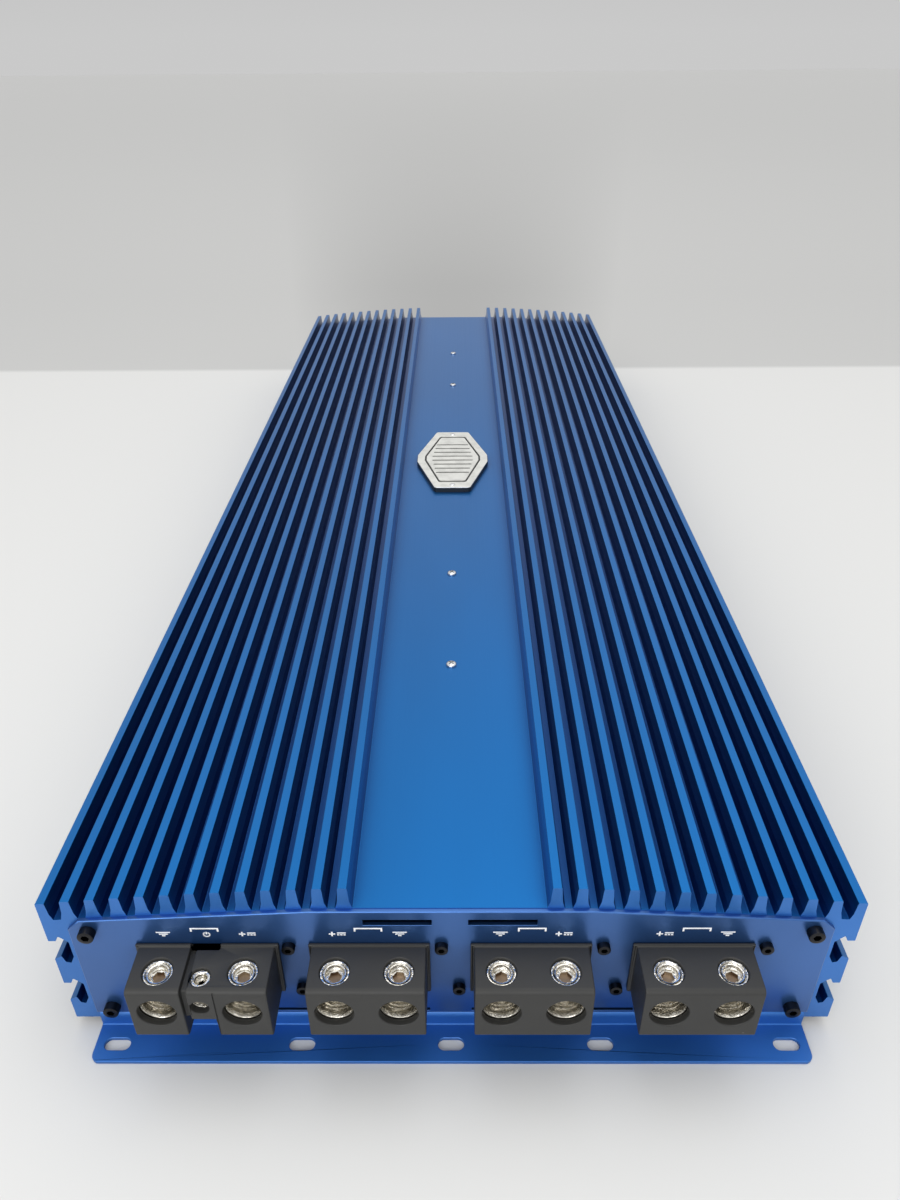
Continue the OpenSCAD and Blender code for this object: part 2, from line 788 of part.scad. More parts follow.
// A ribbed knob on its own shaft, which turns in the potentiometer's bushing.
module knob(i) {
    ribs = 18;
    knob_l = 9;
    color(black) at_control_end() translate([knob_xs[i], 0, knob_z]) {
        difference() {
            translate([0, -end_plate_t - 1.5 - knob_l, 0]) along_y() union() {
                cylinder(r = knob_r - 0.4, h = knob_l);
                for (k = [0:ribs - 1])
                    rotate([0, 0, k * 360 / ribs])
                        translate([knob_r - 0.9, -0.45, 1]) cube([0.9, 0.9, knob_l - 1]);
            }
            translate([0, -end_plate_t - 1.5 - knob_l, knob_r * 0.55]) cube([1, 1, knob_r], center = true);
        }
        translate([0, -end_plate_t - 2, 0]) along_y() cylinder(r = shaft_r, h = 8);
    }
}

module gain_knob() { knob(0); }
module low_pass_knob() { knob(1); }
module subsonic_knob() { knob(2); }
module bass_knob() { knob(3); }

module potentiometers() {
    color(steel) at_control_end()
        for (x = knob_xs)
            translate([x, 0, knob_z]) difference() {
                union() {
                    translate([0, -end_plate_t - 1, 0]) along_y()
                        cylinder(r = bushing_r, h = end_plate_t + 2);
                    slab(pot_w, 1, 10, -pot_w / 2, pot_w / 2);
                    for (s = [-5, 0, 5])
                        translate([s, 0, 0])
                            slab(0.8, 9.2, 10, control_board_z + board_t - knob_z, 1 - pot_w / 2);
                }
                translate([0, -end_plate_t - 2, 0]) along_y() cylinder(r = shaft_r + 0.05, h = 9);
            }
}

module input_jack_shells() {
    wall = 0.6;
    nut_r = 6.2;
    color(nickel) at_control_end()
        for (x = jack_xs)
            translate([x, 0, jack_z]) along_y() difference() {
                union() {
                    translate([0, 0, -end_plate_t - jack_reach])
                        cylinder(r = jack_r, h = jack_reach + end_plate_t + 3);
                    translate([0, 0, -end_plate_t - 1.8]) cylinder(r = nut_r, h = 1.8, $fn = 6);
                }
                translate([0, 0, -end_plate_t - jack_reach - over])
                    cylinder(r = jack_r - wall, h = jack_reach + end_plate_t + 3 + 2 * over);
            }
}

module input_jack_cores() {
    core_r = jack_r - 0.6;
    pin_hole_r = 1.7;
    color("white") at_control_end()
        for (x = jack_xs)
            translate([x, 0, jack_z]) difference() {
                union() {
                    translate([0, -end_plate_t - jack_reach + 1, 0]) along_y()
                        cylinder(r = core_r, h = jack_reach + end_plate_t + 3);
                    translate([-6, 3, control_board_z + board_t - jack_z]) cube([12, 5.6, 14]);
                }
                translate([0, -end_plate_t - jack_reach, 0]) along_y() cylinder(r = pin_hole_r, h = 10);
            }
}

module remote_jack() {
    socket = [9.6, 10, 6.6];
    color(black) at_control_end() translate([remote_jack_x, 0, remote_jack_z]) difference() {
        slab(jack_box[0], -end_plate_t - 0.6, jack_box[1], -jack_box[2] / 2, jack_box[2] / 2);
        slab(socket[0], -end_plate_t - 0.6 - over, socket[1], -socket[2] / 2, socket[2] / 2);
    }
}

module phase_switch_body() {
    color(steel) at_control_end() translate([switch_x, 0, knob_z]) difference() {
        slab(13, 0.3, 8, -4, 4);
        slab(lever[0] + switch_travel + 0.8, -over, 5.6, -lever[2] / 2 - 0.4, lever[2] / 2 + 0.4);
    }
}

module phase_switch_lever() {
    reach = 2.6;
    color(black) at_control_end()
        translate([switch_x - switch_travel / 2, 0, knob_z])
            slab(lever[0], -end_plate_t - reach, 5, -lever[2] / 2, lever[2] / 2);
}

// Each lamp stands on two bent leads from the control board.
module status_leds() {
    lead = 0.5;
    color("tomato") at_control_end()
        for (i = [0, 1])
            translate([led_x, 0, led_zs[i]]) {
                translate([0, -end_plate_t - 1, 0]) along_y() {
                    cylinder(r1 = 1, r2 = led_r, h = 0.8);
                    translate([0, 0, 0.8]) cylinder(r = led_r, h = 5);
                }
                for (s = [-0.8, 0.8])
                    translate([s, 0, 0]) {
                        slab(lead, 2, 5 + 2 * i + lead, -lead / 2, lead / 2);
                        slab(lead, 5 + 2 * i, 5 + 2 * i + lead, control_board_z + board_t - led_zs[i], 0);
                    }
            }
}

module control_board() {
    color(green) at_control_end()
        translate([0, 4.2, control_board_z]) cube([control_board[0], control_board[1], board_t]);
}

// ---- main board and what stands on it

board_half_w = half_w - 21;
board_y0 = 24;                   // clear of the bus bars at one end and the speaker studs at the other

module main_board() {
    color(green) difference() {
        slab(2 * board_half_w, -end_y + 5, end_y - board_y0, board_z, board_top);
        for (y = edge_screw_ys)
            for (x = [-ledge_screw_x, ledge_screw_x])
                translate([x, y, board_z - over]) cylinder(r = m3_clear_r, h = board_t + 2 * over);
        for (y = strip_screw_ys)
            translate([0, y, board_z - over]) cylinder(r = m3_clear_r, h = board_t + 2 * over);
    }
}

module centre_standoffs() {
    height = strip_z - strip_t - board_top;
    color(steel)
        for (y = strip_screw_ys)
            translate([0, y, board_top]) difference() {
                cylinder(r = 3.2, h = height, $fn = 6);
                translate([0, 0, -over]) cylinder(r = m3_hole_r, h = 9);
                translate([0, 0, height - 8]) cylinder(r = m3_hole_r, h = 9);
            }
}

module board_screws() {
    color(steel) {
        for (x = [-ledge_screw_x, ledge_screw_x])
            for (y = edge_screw_ys)
                translate([x, y, board_top]) rotate([180, 0, 0])
                    pan_screw(m3_r, board_t + ledge_t - 0.4, pan_head);
        for (y = strip_screw_ys)
            translate([0, y, board_z]) pan_screw(m3_r, board_t + 6, pan_head);
    }
}

core = [17, 29, 22];             // inner radius, outer radius and height of a transformer's ring
winding_t = 3;
core_places = [for (x = [-48, 48]) for (y = [-194, -110]) [x, y]];

module ring(inner, outer, h) {
    rotate_extrude() translate([inner, 0]) square([outer - inner, h]);
}

module transformer_cores() {
    color("dimgray")
        for (place = core_places)
            translate([place[0], place[1], board_top + winding_t + gap]) ring(core[0], core[1], core[2]);
}

module transformer_windings() {
    color(copper)
        for (place = core_places)
            translate([place[0], place[1], board_top + gap / 2]) difference() {
                ring(core[0] - winding_t, core[1] + winding_t, core[2] + 2 * winding_t);
                translate([0, 0, winding_t]) ring(core[0] - gap / 2, core[1] + gap / 2, core[2] + gap);
            }
}

module capacitor(r, h) {
    difference() {
        cylinder(r = r, h = h);
        translate([0, 0, h - 0.4]) cylinder(r = r - 1.2, h = over);
    }
}

module supply_capacitors() {
    r = 11;
    color("navy")
        for (i = [-3.5:1:3.5])
            for (y = [-316, -290, -264])
                translate([i * 26, y, board_top + gap / 2]) capacitor(r, 34);
}

module rail_capacitors() {
    r = 15;
    color("navy")
        for (i = [-2.5:1:2.5])
            for (y = [-34, 0, 34])
                translate([i * 34, y, board_top + gap / 2]) capacitor(r, 34);
}

module output_inductors() {
    color(copper)
        for (x = [-50, 50])
            for (y = [110, 194])
                translate([x, y, board_top + gap / 2]) ring(14, 30, 28);
}

// Where station i of a transistor bank is, along the case.
function station_y(bank, i) = bank - bank_l / 2 + (i + 0.5) * package_pitch;

// Places a transistor at each station of all four banks, its back to the side wall.
module each_package() {
    for (side = [0, 180])
        rotate([0, 0, side])
            for (bank = [-bank_y, bank_y])
                for (i = [0:packages - 1])
                    translate([wall_in - pad_t, station_y(bank, i), 0]) children();
}

// Places a clamp screw's axis between transistors, pointing out into the side wall from x.
module each_clamp_screw(x) {
    for (side = [0, 180])
        rotate([0, 0, side])
            for (bank = [-bank_y, bank_y])
                for (i = clamp_screw_is)
                    translate([x, station_y(bank, i), bar_z])
                        rotate([0, 90, 0]) children();
}

module transistors() {
    leg = 1;
    leg_x = -2.5;
    leg_in = -(wall_in - pad_t - board_half_w) - 1.5;
    color(black) each_package() {
        translate([-package[1], -package[0] / 2, package_z]) cube([package[1], package[0], package[2]]);
        for (s = [-5, 0, 5])
            translate([0, s - leg / 2, 0]) {
                translate([leg_x, 0, package_z - 3]) cube([leg, leg, 3.5]);
                translate([leg_in, 0, package_z - 3]) cube([leg_x - leg_in + leg, leg, leg]);
                translate([leg_in, 0, board_top]) cube([leg, leg, package_z - 3 - board_top + leg]);
            }
    }
}

module thermal_pads() {
    color("lightgray")
        for (side = [0, 180])
            rotate([0, 0, side])
                for (bank = [-bank_y, bank_y])
                    difference() {
                        translate([wall_in - pad_t, bank - bank_l / 2, package_z - 1])
                            cube([pad_t, bank_l, package[2] + 2]);
                        for (i = clamp_screw_is)
                            translate([wall_in - pad_t - over, station_y(bank, i), bar_z])
                                rotate([0, 90, 0]) cylinder(r = m3_clear_r, h = pad_t + 2 * over);
                    }
}

module clamp_bars() {
    bar_x = wall_in - pad_t - package[1] - bar_t;
    color(steel)
        for (side = [0, 180])
            rotate([0, 0, side])
                for (bank = [-bank_y, bank_y])
                    difference() {
                        translate([bar_x, bank - bank_l / 2, bar_z - bar_h / 2])
                            cube([bar_t, bank_l, bar_h]);
                        for (i = clamp_screw_is)
                            translate([bar_x - over, station_y(bank, i), bar_z])
                                rotate([0, 90, 0]) cylinder(r = m3_clear_r, h = bar_t + 2 * over);
                    }
}

module clamp_screws() {
    bar_x = wall_in - pad_t - package[1] - bar_t;
    color(steel) each_clamp_screw(bar_x) pan_screw(m3_r, bar_t + package[1] + pad_t + 2.6, pan_head);
}

heatsink();
bottom_plate();
power_bracket();
control_bracket();
power_end_plate();
control_end_plate();
end_plate_screws();
bottom_plate_screws();
bracket_screws();
terminal_screws();
strip_screws();
badge_plate();
badge_rivets();
remote_power_block();
power_block(1);  // power_block_left
power_block(2);  // power_block_right
power_block(3);  // power_block_outer
speaker_block(0);  // speaker_block_left
speaker_block(1);  // speaker_block_right
wire_clamps();
set_screw(1);  // set_screw_1
set_screw(2);  // set_screw_2
set_screw(3);  // set_screw_3
set_screw(4);  // set_screw_4
set_screw(5);  // set_screw_5
set_screw(6);  // set_screw_6
set_screw(7);  // set_screw_7
set_screw(8);  // set_screw_8
remote_set_screw();
speaker_set_screw(1);  // speaker_set_screw_1
speaker_set_screw(2);  // speaker_set_screw_2
speaker_set_screw(3);  // speaker_set_screw_3
speaker_set_screw(4);  // speaker_set_screw_4
ground_bus();
plus_bus();
bus_nuts();
gain_knob();
low_pass_knob();
subsonic_knob();
bass_knob();
potentiometers();
input_jack_shells();
input_jack_cores();
phase_switch_body();
phase_switch_lever();
remote_jack();
status_leds();
control_board();
main_board();
centre_standoffs();
board_screws();
transformer_cores();
transformer_windings();
supply_capacitors();
rail_capacitors();
output_inductors();
transistors();
thermal_pads();
clamp_bars();
clamp_screws();
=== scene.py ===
"""Looks for a large car amplifier: a blue finned heatsink case with power terminals at the -Y end
and controls at the +Y end. Metres, +Z up, the same frame as the CAD model."""

import json
from math import atan2, cos, hypot, pi, radians, sin, sqrt, tan

import bmesh
import bpy
from mathutils import Matrix, Vector
from mathutils.geometry import tessellate_polygon


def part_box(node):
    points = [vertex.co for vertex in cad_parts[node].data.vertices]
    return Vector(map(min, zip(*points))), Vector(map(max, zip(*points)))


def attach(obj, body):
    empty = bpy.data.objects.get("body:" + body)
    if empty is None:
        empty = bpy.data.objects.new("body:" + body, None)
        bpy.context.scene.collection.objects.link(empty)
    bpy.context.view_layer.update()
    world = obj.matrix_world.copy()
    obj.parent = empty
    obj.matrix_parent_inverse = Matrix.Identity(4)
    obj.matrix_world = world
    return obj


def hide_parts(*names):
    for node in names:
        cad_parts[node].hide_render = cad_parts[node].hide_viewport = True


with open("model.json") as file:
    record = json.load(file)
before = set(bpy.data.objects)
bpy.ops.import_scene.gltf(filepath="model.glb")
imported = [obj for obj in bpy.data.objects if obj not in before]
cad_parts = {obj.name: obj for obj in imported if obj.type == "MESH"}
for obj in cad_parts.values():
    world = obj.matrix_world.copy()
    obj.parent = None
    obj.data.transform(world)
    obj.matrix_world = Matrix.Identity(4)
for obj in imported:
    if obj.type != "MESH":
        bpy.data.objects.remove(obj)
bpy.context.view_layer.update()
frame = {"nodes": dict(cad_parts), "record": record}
nodes = frame["nodes"]
mounts = {m["name"]: m for m in frame["record"]["mounts"]}

MM = 0.001
case_lo, case_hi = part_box("heatsink")
NEAR_END = case_lo.y
FAR_END = case_hi.y
PLATE_T = NEAR_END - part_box("power_end_plate")[0].y
OUT = {-1: Matrix.Rotation(radians(90), 4, "X"), 1: Matrix.Rotation(radians(-90), 4, "X")}

BLOCKS = ["remote_power_block", "power_block_left", "power_block_right", "power_block_outer",
          "speaker_block_left", "speaker_block_right"]
KNOBS = ["gain_knob", "low_pass_knob", "subsonic_knob", "bass_knob"]
SET_SCREWS = [f"set_screw_{i}" for i in range(1, 9)] + [f"speaker_set_screw_{i}" for i in range(1, 5)]
SET_SCREWS.append("remote_set_screw")
STILL = Matrix.Identity(4)


def middle(lo, hi):
    return (lo + hi) / 2


def end_face(lo, hi):
    """The end a box belongs to, as -1 or 1 along Y, and the place of its outer face there."""
    return (-1, lo.y) if lo.y < 0 else (1, hi.y)


# ---- small helpers for meshes

def new_object(name, bm, material=None, body="root"):
    """Turns a bmesh into an object that rides on a CAD body."""
    bmesh.ops.recalc_face_normals(bm, faces=bm.faces)
    mesh = bpy.data.meshes.new(name)
    bm.to_mesh(mesh)
    bm.free()
    return place(name, mesh, material, body)


def linked(name, data):
    """Adds an object."""
    obj = bpy.data.objects.new(name, data)
    bpy.context.scene.collection.objects.link(obj)
    return obj


def place(name, mesh, material, body="root"):
    obj = linked(name, mesh)
    if material:
        mesh.materials.clear()
        mesh.materials.append(material)
    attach(obj, body)
    return obj


def modified(obj, kind, **values):
    """Gives an object a modifier and applies it."""
    mod = obj.modifiers.new(kind, kind)
    for key, value in values.items():
        setattr(mod, key, value)
    graph = bpy.context.evaluated_depsgraph_get()
    mesh = bpy.data.meshes.new_from_object(obj.evaluated_get(graph))
    old = obj.data
    obj.modifiers.clear()
    obj.data = mesh
    bpy.data.meshes.remove(old)


def copied(mesh):
    bm = bmesh.new()
    bm.from_mesh(mesh)
    return bm


def shade(obj, angle=35):
    """Smooth shading that keeps sharp edges, with flat faces left flat."""
    obj.data.shade_smooth()
    bm = copied(obj.data)
    for edge in bm.edges:
        if len(edge.link_faces) == 2 and edge.calc_face_angle(0) > radians(angle):
            edge.smooth = False
    bm.to_mesh(obj.data)
    bm.free()
    modified(obj, "WEIGHTED_NORMAL", keep_sharp=True)


def bevelled(obj, width, segments=2, angle=40):
    """Rounds an object's sharp edges for good."""
    modified(obj, "BEVEL", width=width, segments=segments, limit_method="ANGLE",
             angle_limit=radians(angle), use_clamp_overlap=False, miter_outer="MITER_ARC")


def combined(obj, tool, operation):
    """Adds or cuts away a closed bmesh."""
    helper = new_object("tool", tool)
    modified(obj, "BOOLEAN", operation=operation, solver="EXACT", object=helper)
    bpy.data.objects.remove(helper)


def cut(obj, tool):
    combined(obj, tool, "DIFFERENCE")


def moved(bm, matrix):
    bmesh.ops.transform(bm, matrix=matrix, verts=bm.verts)


def shifted(bm, y):
    bmesh.ops.translate(bm, vec=(0, y, 0), verts=bm.verts)


def turned(bm, angle, axis="Z"):
    bmesh.ops.rotate(bm, matrix=Matrix.Rotation(angle, 3, axis), verts=bm.verts)


def stand_in(obj, node, angle=35):
    """Finishes an object and shows it in a CAD node's place."""
    shade(obj, angle)
    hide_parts(node)


def joined_bmesh(name):
    """A copy of a CAD node's mesh, with its split vertices joined."""
    bm = copied(nodes[name].data)
    bmesh.ops.remove_doubles(bm, verts=bm.verts, dist=1e-6)
    return bm


def softened(name, width, material, segments=2, body="root"):
    """A detailed stand-in for a CAD node: the same shape with rounded edges."""
    bm = joined_bmesh(name)
    bmesh.ops.dissolve_limit(bm, angle_limit=radians(0.5), verts=bm.verts, edges=bm.edges)
    obj = new_object(name + "_detail", bm, material, body)
    bevelled(obj, width, segments)
    stand_in(obj, name)
    return obj


def island_boxes(name):
    """The lowest and highest corners of each separate solid in a CAD node, sorted by place."""
    bm = joined_bmesh(name)
    left = set(bm.verts)
    boxes = []
    while left:
        stack = [left.pop()]
        found = []
        while stack:
            vert = stack.pop()
            found.append(vert.co.copy())
            for other in (edge.other_vert(vert) for edge in vert.link_edges):
                if other in left:
                    left.remove(other)
                    stack.append(other)
        boxes.append((Vector(map(min, zip(*found))), Vector(map(max, zip(*found)))))
    bm.free()
    return sorted(boxes, key=lambda b: (round(b[0].y, 4), round(b[0].x, 4), b[0].z))


def revolved(profile, segments=48):
    """A closed solid of revolution about Z. The profile is a list of (radius, height) points."""
    bm = bmesh.new()
    turns = [2 * pi / segments * i for i in range(segments)]
    rings = []
    for radius, height in profile:
        around = turns if radius > 1e-9 else [0]
        rings.append([bm.verts.new((radius * cos(a), radius * sin(a), height)) for a in around])
    for a, b in zip(rings, rings[1:]):
        for i in range(segments):
            j = (i + 1) % segments
            corners = [a[i % len(a)], a[j % len(a)], b[j % len(b)], b[i % len(b)]]
            unique = list(dict.fromkeys(corners))
            if len(unique) > 2:
                bm.faces.new(unique)
    return bm


def prism(points, z0, z1):
    """A closed prism over an outline of (x, y) points, from z0 to z1."""
    bm = bmesh.new()
    low = [bm.verts.new((x, y, z0)) for x, y in points]
    high = [bm.verts.new((x, y, z1)) for x, y in points]
    for i in range(len(points)):
        j = (i + 1) % len(points)
        bm.faces.new((low[i], low[j], high[j], high[i]))
    for a, b, c in tessellate_polygon([[Vector((x, y, 0)) for x, y in points]]):
        bm.faces.new((low[c], low[b], low[a]))
        bm.faces.new((high[a], high[b], high[c]))
    return bm


def hexagon(radius):
    return [(radius * cos(a), radius * sin(a)) for a in (pi / 3 * i for i in range(6))]


def box_bmesh(lo, hi):
    bm = bmesh.new()
    bmesh.ops.create_cube(bm, size=1)
    size = [h - l for l, h in zip(lo, hi)]
    centre = [(h + l) / 2 for l, h in zip(lo, hi)]
    moved(bm, Matrix.Translation(centre) @ Matrix.Diagonal((*size, 1)))
    return bm


def corners_of(points):
    """Each corner of a closed outline, between the ways to the corners before and after it."""
    spots = [Vector(p) for p in points]
    for before, here, after in zip(spots[-1:] + spots, spots, spots[1:] + spots[:1]):
        yield before - here, here, after - here


def curve(before, here, after, reach, steps):
    """A curve in place of a corner, starting and ending at reach from it."""
    a = here + before.normalized() * reach
    b = here + after.normalized() * reach
    return [tuple(a * (1 - t) ** 2 + here * 2 * t * (1 - t) + b * t ** 2)
            for t in (k / steps for k in range(steps + 1))]


def rounded_outline(points, radius):
    """Rounds the corners of a closed outline, and leaves nearly straight ones alone."""
    widest = 0.45
    out = []
    for before, here, after in corners_of(points):
        bend = before.angle(after)
        if bend > radians(174):
            out.append(tuple(here))
            continue
        reach = min(radius / tan(bend / 2), before.length * widest, after.length * widest)
        out += curve(before, here, after, reach, 3)
    return out


def merged(parts):
    """Joins bmeshes, each moved by its matrix, into one."""
    whole = bmesh.new()
    for bm, matrix in parts:
        mesh = bpy.data.meshes.new("part")
        bm.to_mesh(mesh)
        mesh.transform(matrix)
        whole.from_mesh(mesh)
        bpy.data.meshes.remove(mesh)
    return whole


def repeated(node, mesh, matrices, material):
    """One object holding a copy of a mesh at each place, standing for one CAD node."""
    copies = [(copied(mesh), matrix) for matrix in matrices]
    obj = new_object(node + "_detail", merged(copies), material)
    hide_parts(node)


def fill_ramp(node, stops):
    """Sets a colour ramp's stops, each a place and a colour."""
    elements = node.color_ramp.elements
    while len(elements) < len(stops):
        elements.new(0.5)
    for element, (place_at, colour) in zip(elements, stops):
        element.position = place_at
        element.color = (*colour, 1)


# ---- materials

class Shader:
    """A Principled material with short ways to add procedural detail."""

    def __init__(self, name, colour, roughness, metallic=0.0, **sockets):
        self.material = bpy.data.materials.new(name)
        self.material.use_nodes = True
        self.tree = self.material.node_tree
        self.bsdf = self.tree.nodes["Principled BSDF"]
        self.bsdf.inputs["Base Color"].default_value = (*colour, 1)
        sockets.update(Roughness=roughness, Metallic=metallic)
        for key, value in sockets.items():
            self.bsdf.inputs[key.replace("_", " ")].default_value = value

    def node(self, kind, **values):
        """Adds a node, its inputs set to values or linked to outputs."""
        made = self.tree.nodes.new(kind)
        for key, value in values.items():
            socket = made.inputs[key.replace("_", " ")]
            if isinstance(value, bpy.types.NodeSocket):
                self.link(value, socket)
            else:
                socket.default_value = value
        return made

    def link(self, a, b):
        self.tree.links.new(a, b)

    def point(self, stretch=(1, 1, 1)):
        where = self.node("ShaderNodeTexCoord").outputs["Object"]
        return self.node("ShaderNodeMapping", Vector=where, Scale=stretch).outputs["Vector"]

    def noise(self, scale, stretch=(1, 1, 1), detail=3.0, rough=0.5):
        return self.node("ShaderNodeTexNoise", Vector=self.point(stretch), Scale=scale,
                         Detail=detail, Roughness=rough).outputs["Fac"]

    def speckle(self, scale, stretch=(1, 1, 1)):
        return self.node("ShaderNodeTexVoronoi", Vector=self.point(stretch), Scale=scale).outputs["Distance"]

    def ramp(self, factor, stops):
        made = self.node("ShaderNodeValToRGB", Fac=factor)
        fill_ramp(made, stops)
        return made.outputs["Color"]

    def spread(self, factor, low, high):
        """Maps a 0..1 value onto a range."""
        return self.node("ShaderNodeMapRange", Value=factor, To_Min=low, To_Max=high).outputs["Result"]

    def colour(self, factor, stops, depth=None, painted_shade=(1, 1, 1)):
        """Colours the surface from a ramp, with painted shade that darkens it inside hollows about as wide as
        depth.
        """
        result = self.ramp(factor, stops)
        if depth:
            # Painted shade: ambient occlusion darkens the colour inside hollows
            shade_node = self.node("ShaderNodeAmbientOcclusion", Distance=depth)
            shade_node.samples = 6
            darker = self.ramp(shade_node.outputs["AO"], [(0.12, painted_shade), (0.80, (1, 1, 1))])
            both = self.node("ShaderNodeVectorMath")
            both.operation = "MULTIPLY"
            self.link(result, both.inputs[0])
            self.link(darker, both.inputs[1])
            result = both.outputs["Vector"]
        self.link(result, self.bsdf.inputs["Base Color"])

    def gloss(self, factor, low, high):
        self.link(self.spread(factor, low, high), self.bsdf.inputs["Roughness"])

    def bump(self, *heights):
        """Adds bump layers, each (height, strength, distance)."""
        last = None
        for height, strength, distance in heights:
            made = self.node("ShaderNodeBump", Height=height, Strength=strength, Distance=distance)
            if last:
                self.link(last, made.inputs["Normal"])
            last = made.outputs["Normal"]
        self.link(last, self.bsdf.inputs["Normal"])


def shades(colour, *factors):
    """Colour stops for a ramp: the colour times each factor, evenly spaced."""
    steps = max(len(factors) - 1, 1)
    return [(0.3 + 0.4 * i / steps, tuple(min(1, c * f) for c in colour)) for i, f in enumerate(factors)]


def extruded_metal(name, colour, roughness):
    """Anodised aluminium with die lines along Y, a faint satin sparkle, and painted shade darkening its
    grooves.
    """
    s = Shader(name, colour, roughness, metallic=0.95,
               Coat_Weight=0.85, Coat_Roughness=0.30, Coat_IOR=1.24)
    lines = s.noise(1.0, stretch=(2600, 2.5, 2600), detail=2)
    sparkle = s.noise(5200, detail=1)
    # Painted shade darkens the colour deep in the fin grooves
    s.colour(s.noise(9.0, stretch=(1, 0.3, 1), detail=4), shades(colour, 0.88, 1.0, 1.10),
             depth=0.014, painted_shade=(0.08, 0.16, 0.33))
    s.gloss(lines, roughness - 0.05, roughness + 0.07)
    s.bump((lines, 0.22, 0.00003), (sparkle, 0.12, 0.00001))
    return s.material


def anodised_sheet(name, colour, roughness, painted_shade=(0.8, 0.8, 0.8)):
    """Anodised sheet: a fine all-over etch, handling marks in the gloss, and painted shade darkening it in
    hollows and beside parts that stand close to it.
    """
    s = Shader(name, colour, roughness, metallic=0.80,
               Coat_Weight=0.35, Coat_Roughness=0.30, Coat_IOR=1.6)
    grain = s.noise(4200, detail=2)
    # Painted shade darkens the colour where other parts stand close to the sheet
    s.colour(s.noise(14.0, detail=4), shades(colour, 0.90, 1.0, 1.10),
             depth=0.030, painted_shade=painted_shade)
    s.gloss(s.noise(60, detail=5), roughness - 0.05, roughness + 0.08)
    s.bump((grain, 0.16, 0.00002))
    return s.material


def moulded(name, colour, roughness, grain=1500, height=0.00004, dust=False):
    """Moulded plastic with a spark-eroded texture, and a few specks of dust if asked."""
    s = Shader(name, colour, roughness, Specular_IOR_Level=0.42)
    fine = s.noise(grain, detail=3, rough=0.65)
    if dust:
        bright, pale = (tuple(c * factor for c in colour) for factor in (9, 5))
        s.colour(s.speckle(150), [(0.0, bright), (0.030, pale), (0.045, colour)])
    else:
        s.colour(s.noise(220, detail=4), shades(colour, 0.85, 1.0, 1.18))
    s.gloss(s.noise(90, detail=5), roughness - 0.07, roughness + 0.08)
    s.bump((fine, 0.35, height))
    return s.material


def metal(name, colour, roughness, stretch=(1, 1, 1), grain=900):
    """Plain metal with fine tool marks."""
    s = Shader(name, colour, roughness, metallic=1.0)
    marks = s.noise(grain, stretch=stretch, detail=4, rough=0.6)
    s.colour(s.noise(160, detail=4), shades(colour, 0.86, 1.0, 1.08))
    s.gloss(marks, roughness - 0.08, roughness + 0.08)
    s.bump((marks, 0.25, 0.00002))
    return s.material


def plated(name, colour, roughness):
    """Nickel plating over a cast part: an uneven surface that breaks up the reflections."""
    s = Shader(name, colour, roughness, metallic=1.0)
    lumps = s.noise(420, detail=3, rough=0.6)
    fine = s.noise(2600, detail=2)
    s.colour(s.noise(300, detail=4), shades(colour, 0.70, 1.0, 1.12))
    s.gloss(lumps, roughness - 0.06, roughness + 0.12)
    s.bump((lumps, 0.9, 0.0005), (fine, 0.3, 0.00003))
    return s.material


case_blue = extruded_metal("case_blue", (0.0015, 0.135, 0.42), 0.40)
# The end plates' painted shade is deep: it darkens them around the terminal blocks
sheet_blue = anodised_sheet("sheet_blue", (0.040, 0.135, 0.40), 0.30, painted_shade=(0.26, 0.28, 0.30))
foot_blue = anodised_sheet("foot_blue", (0.030, 0.165, 0.52), 0.56)
cut_blue = anodised_sheet("cut_blue", (0.030, 0.180, 0.56), 0.42)
block_black = moulded("block_black", (0.026, 0.026, 0.025), 0.52, dust=True)
knob_black = moulded("knob_black", (0.016, 0.016, 0.018), 0.45, grain=2600, height=0.00002)
screw_black = metal("screw_black", (0.030, 0.030, 0.032), 0.36)
steel_black = moulded("steel_black", (0.012, 0.012, 0.013), 0.50, grain=1800, height=0.00003)
nickel = plated("nickel", (0.74, 0.71, 0.64), 0.20)
socket_dark = metal("socket_dark", (0.26, 0.19, 0.13), 0.45)
# A paler grey that paints a highlight along the blocks' front top edges
painted_edge_highlight = moulded("painted_edge_highlight", (0.075, 0.075, 0.075), 0.42)
bright_zinc = metal("bright_zinc", (0.66, 0.67, 0.68), 0.30)
brushed_silver = metal("brushed_silver", (0.90, 0.90, 0.86), 0.34, stretch=(0.05, 3, 1), grain=1600)
dark_edge = moulded("dark_edge", (0.010, 0.011, 0.011), 0.42, grain=2600, height=0.00001)
copper = metal("copper", (0.72, 0.33, 0.18), 0.33)
steel = metal("steel", (0.45, 0.45, 0.46), 0.38, stretch=(1, 0.1, 1))
print_white = moulded("print_white", (0.90, 0.92, 0.94), 0.55, grain=3000, height=0.000005)
jack_white = moulded("jack_white", (0.70, 0.69, 0.66), 0.35, grain=2600, height=0.00001)
contact_gold = metal("contact_gold", (0.80, 0.56, 0.22), 0.25)
jack_red = moulded("jack_red", (0.42, 0.02, 0.02), 0.35, grain=2600, height=0.00001)


# ---- the heatsink: its end section, rounded and drawn out along the case

def face_outlines(node, y):
    """The outlines of the flat face a CAD node has at y, as lists of (x, z) points, the outer one first."""
    mesh = nodes[node].data
    sides = {}
    for poly in mesh.polygons:
        points = [mesh.vertices[v].co for v in poly.vertices]
        if max(abs(p.y - y) for p in points) < 1e-5:
            flat = [(round(p.x, 6), round(p.z, 6)) for p in points]
            sides.update(dict.fromkeys(zip(flat, flat[1:] + flat[:1])))
    follow = {a: b for a, b in sides if (b, a) not in sides}
    loops = []
    while follow:
        start, here = follow.popitem()
        loop = [start]
        while here != start:
            loop.append(here)
            here = follow.pop(here)
        loops.append(loop)
    return sorted(loops, key=lambda loop: min(loop)[0])


def straightened(points):
    """Leaves out the points of an outline that lie on a straight line."""
    return [tuple(here) for before, here, after in corners_of(points)
            if (-before).angle(after) > radians(0.2)]


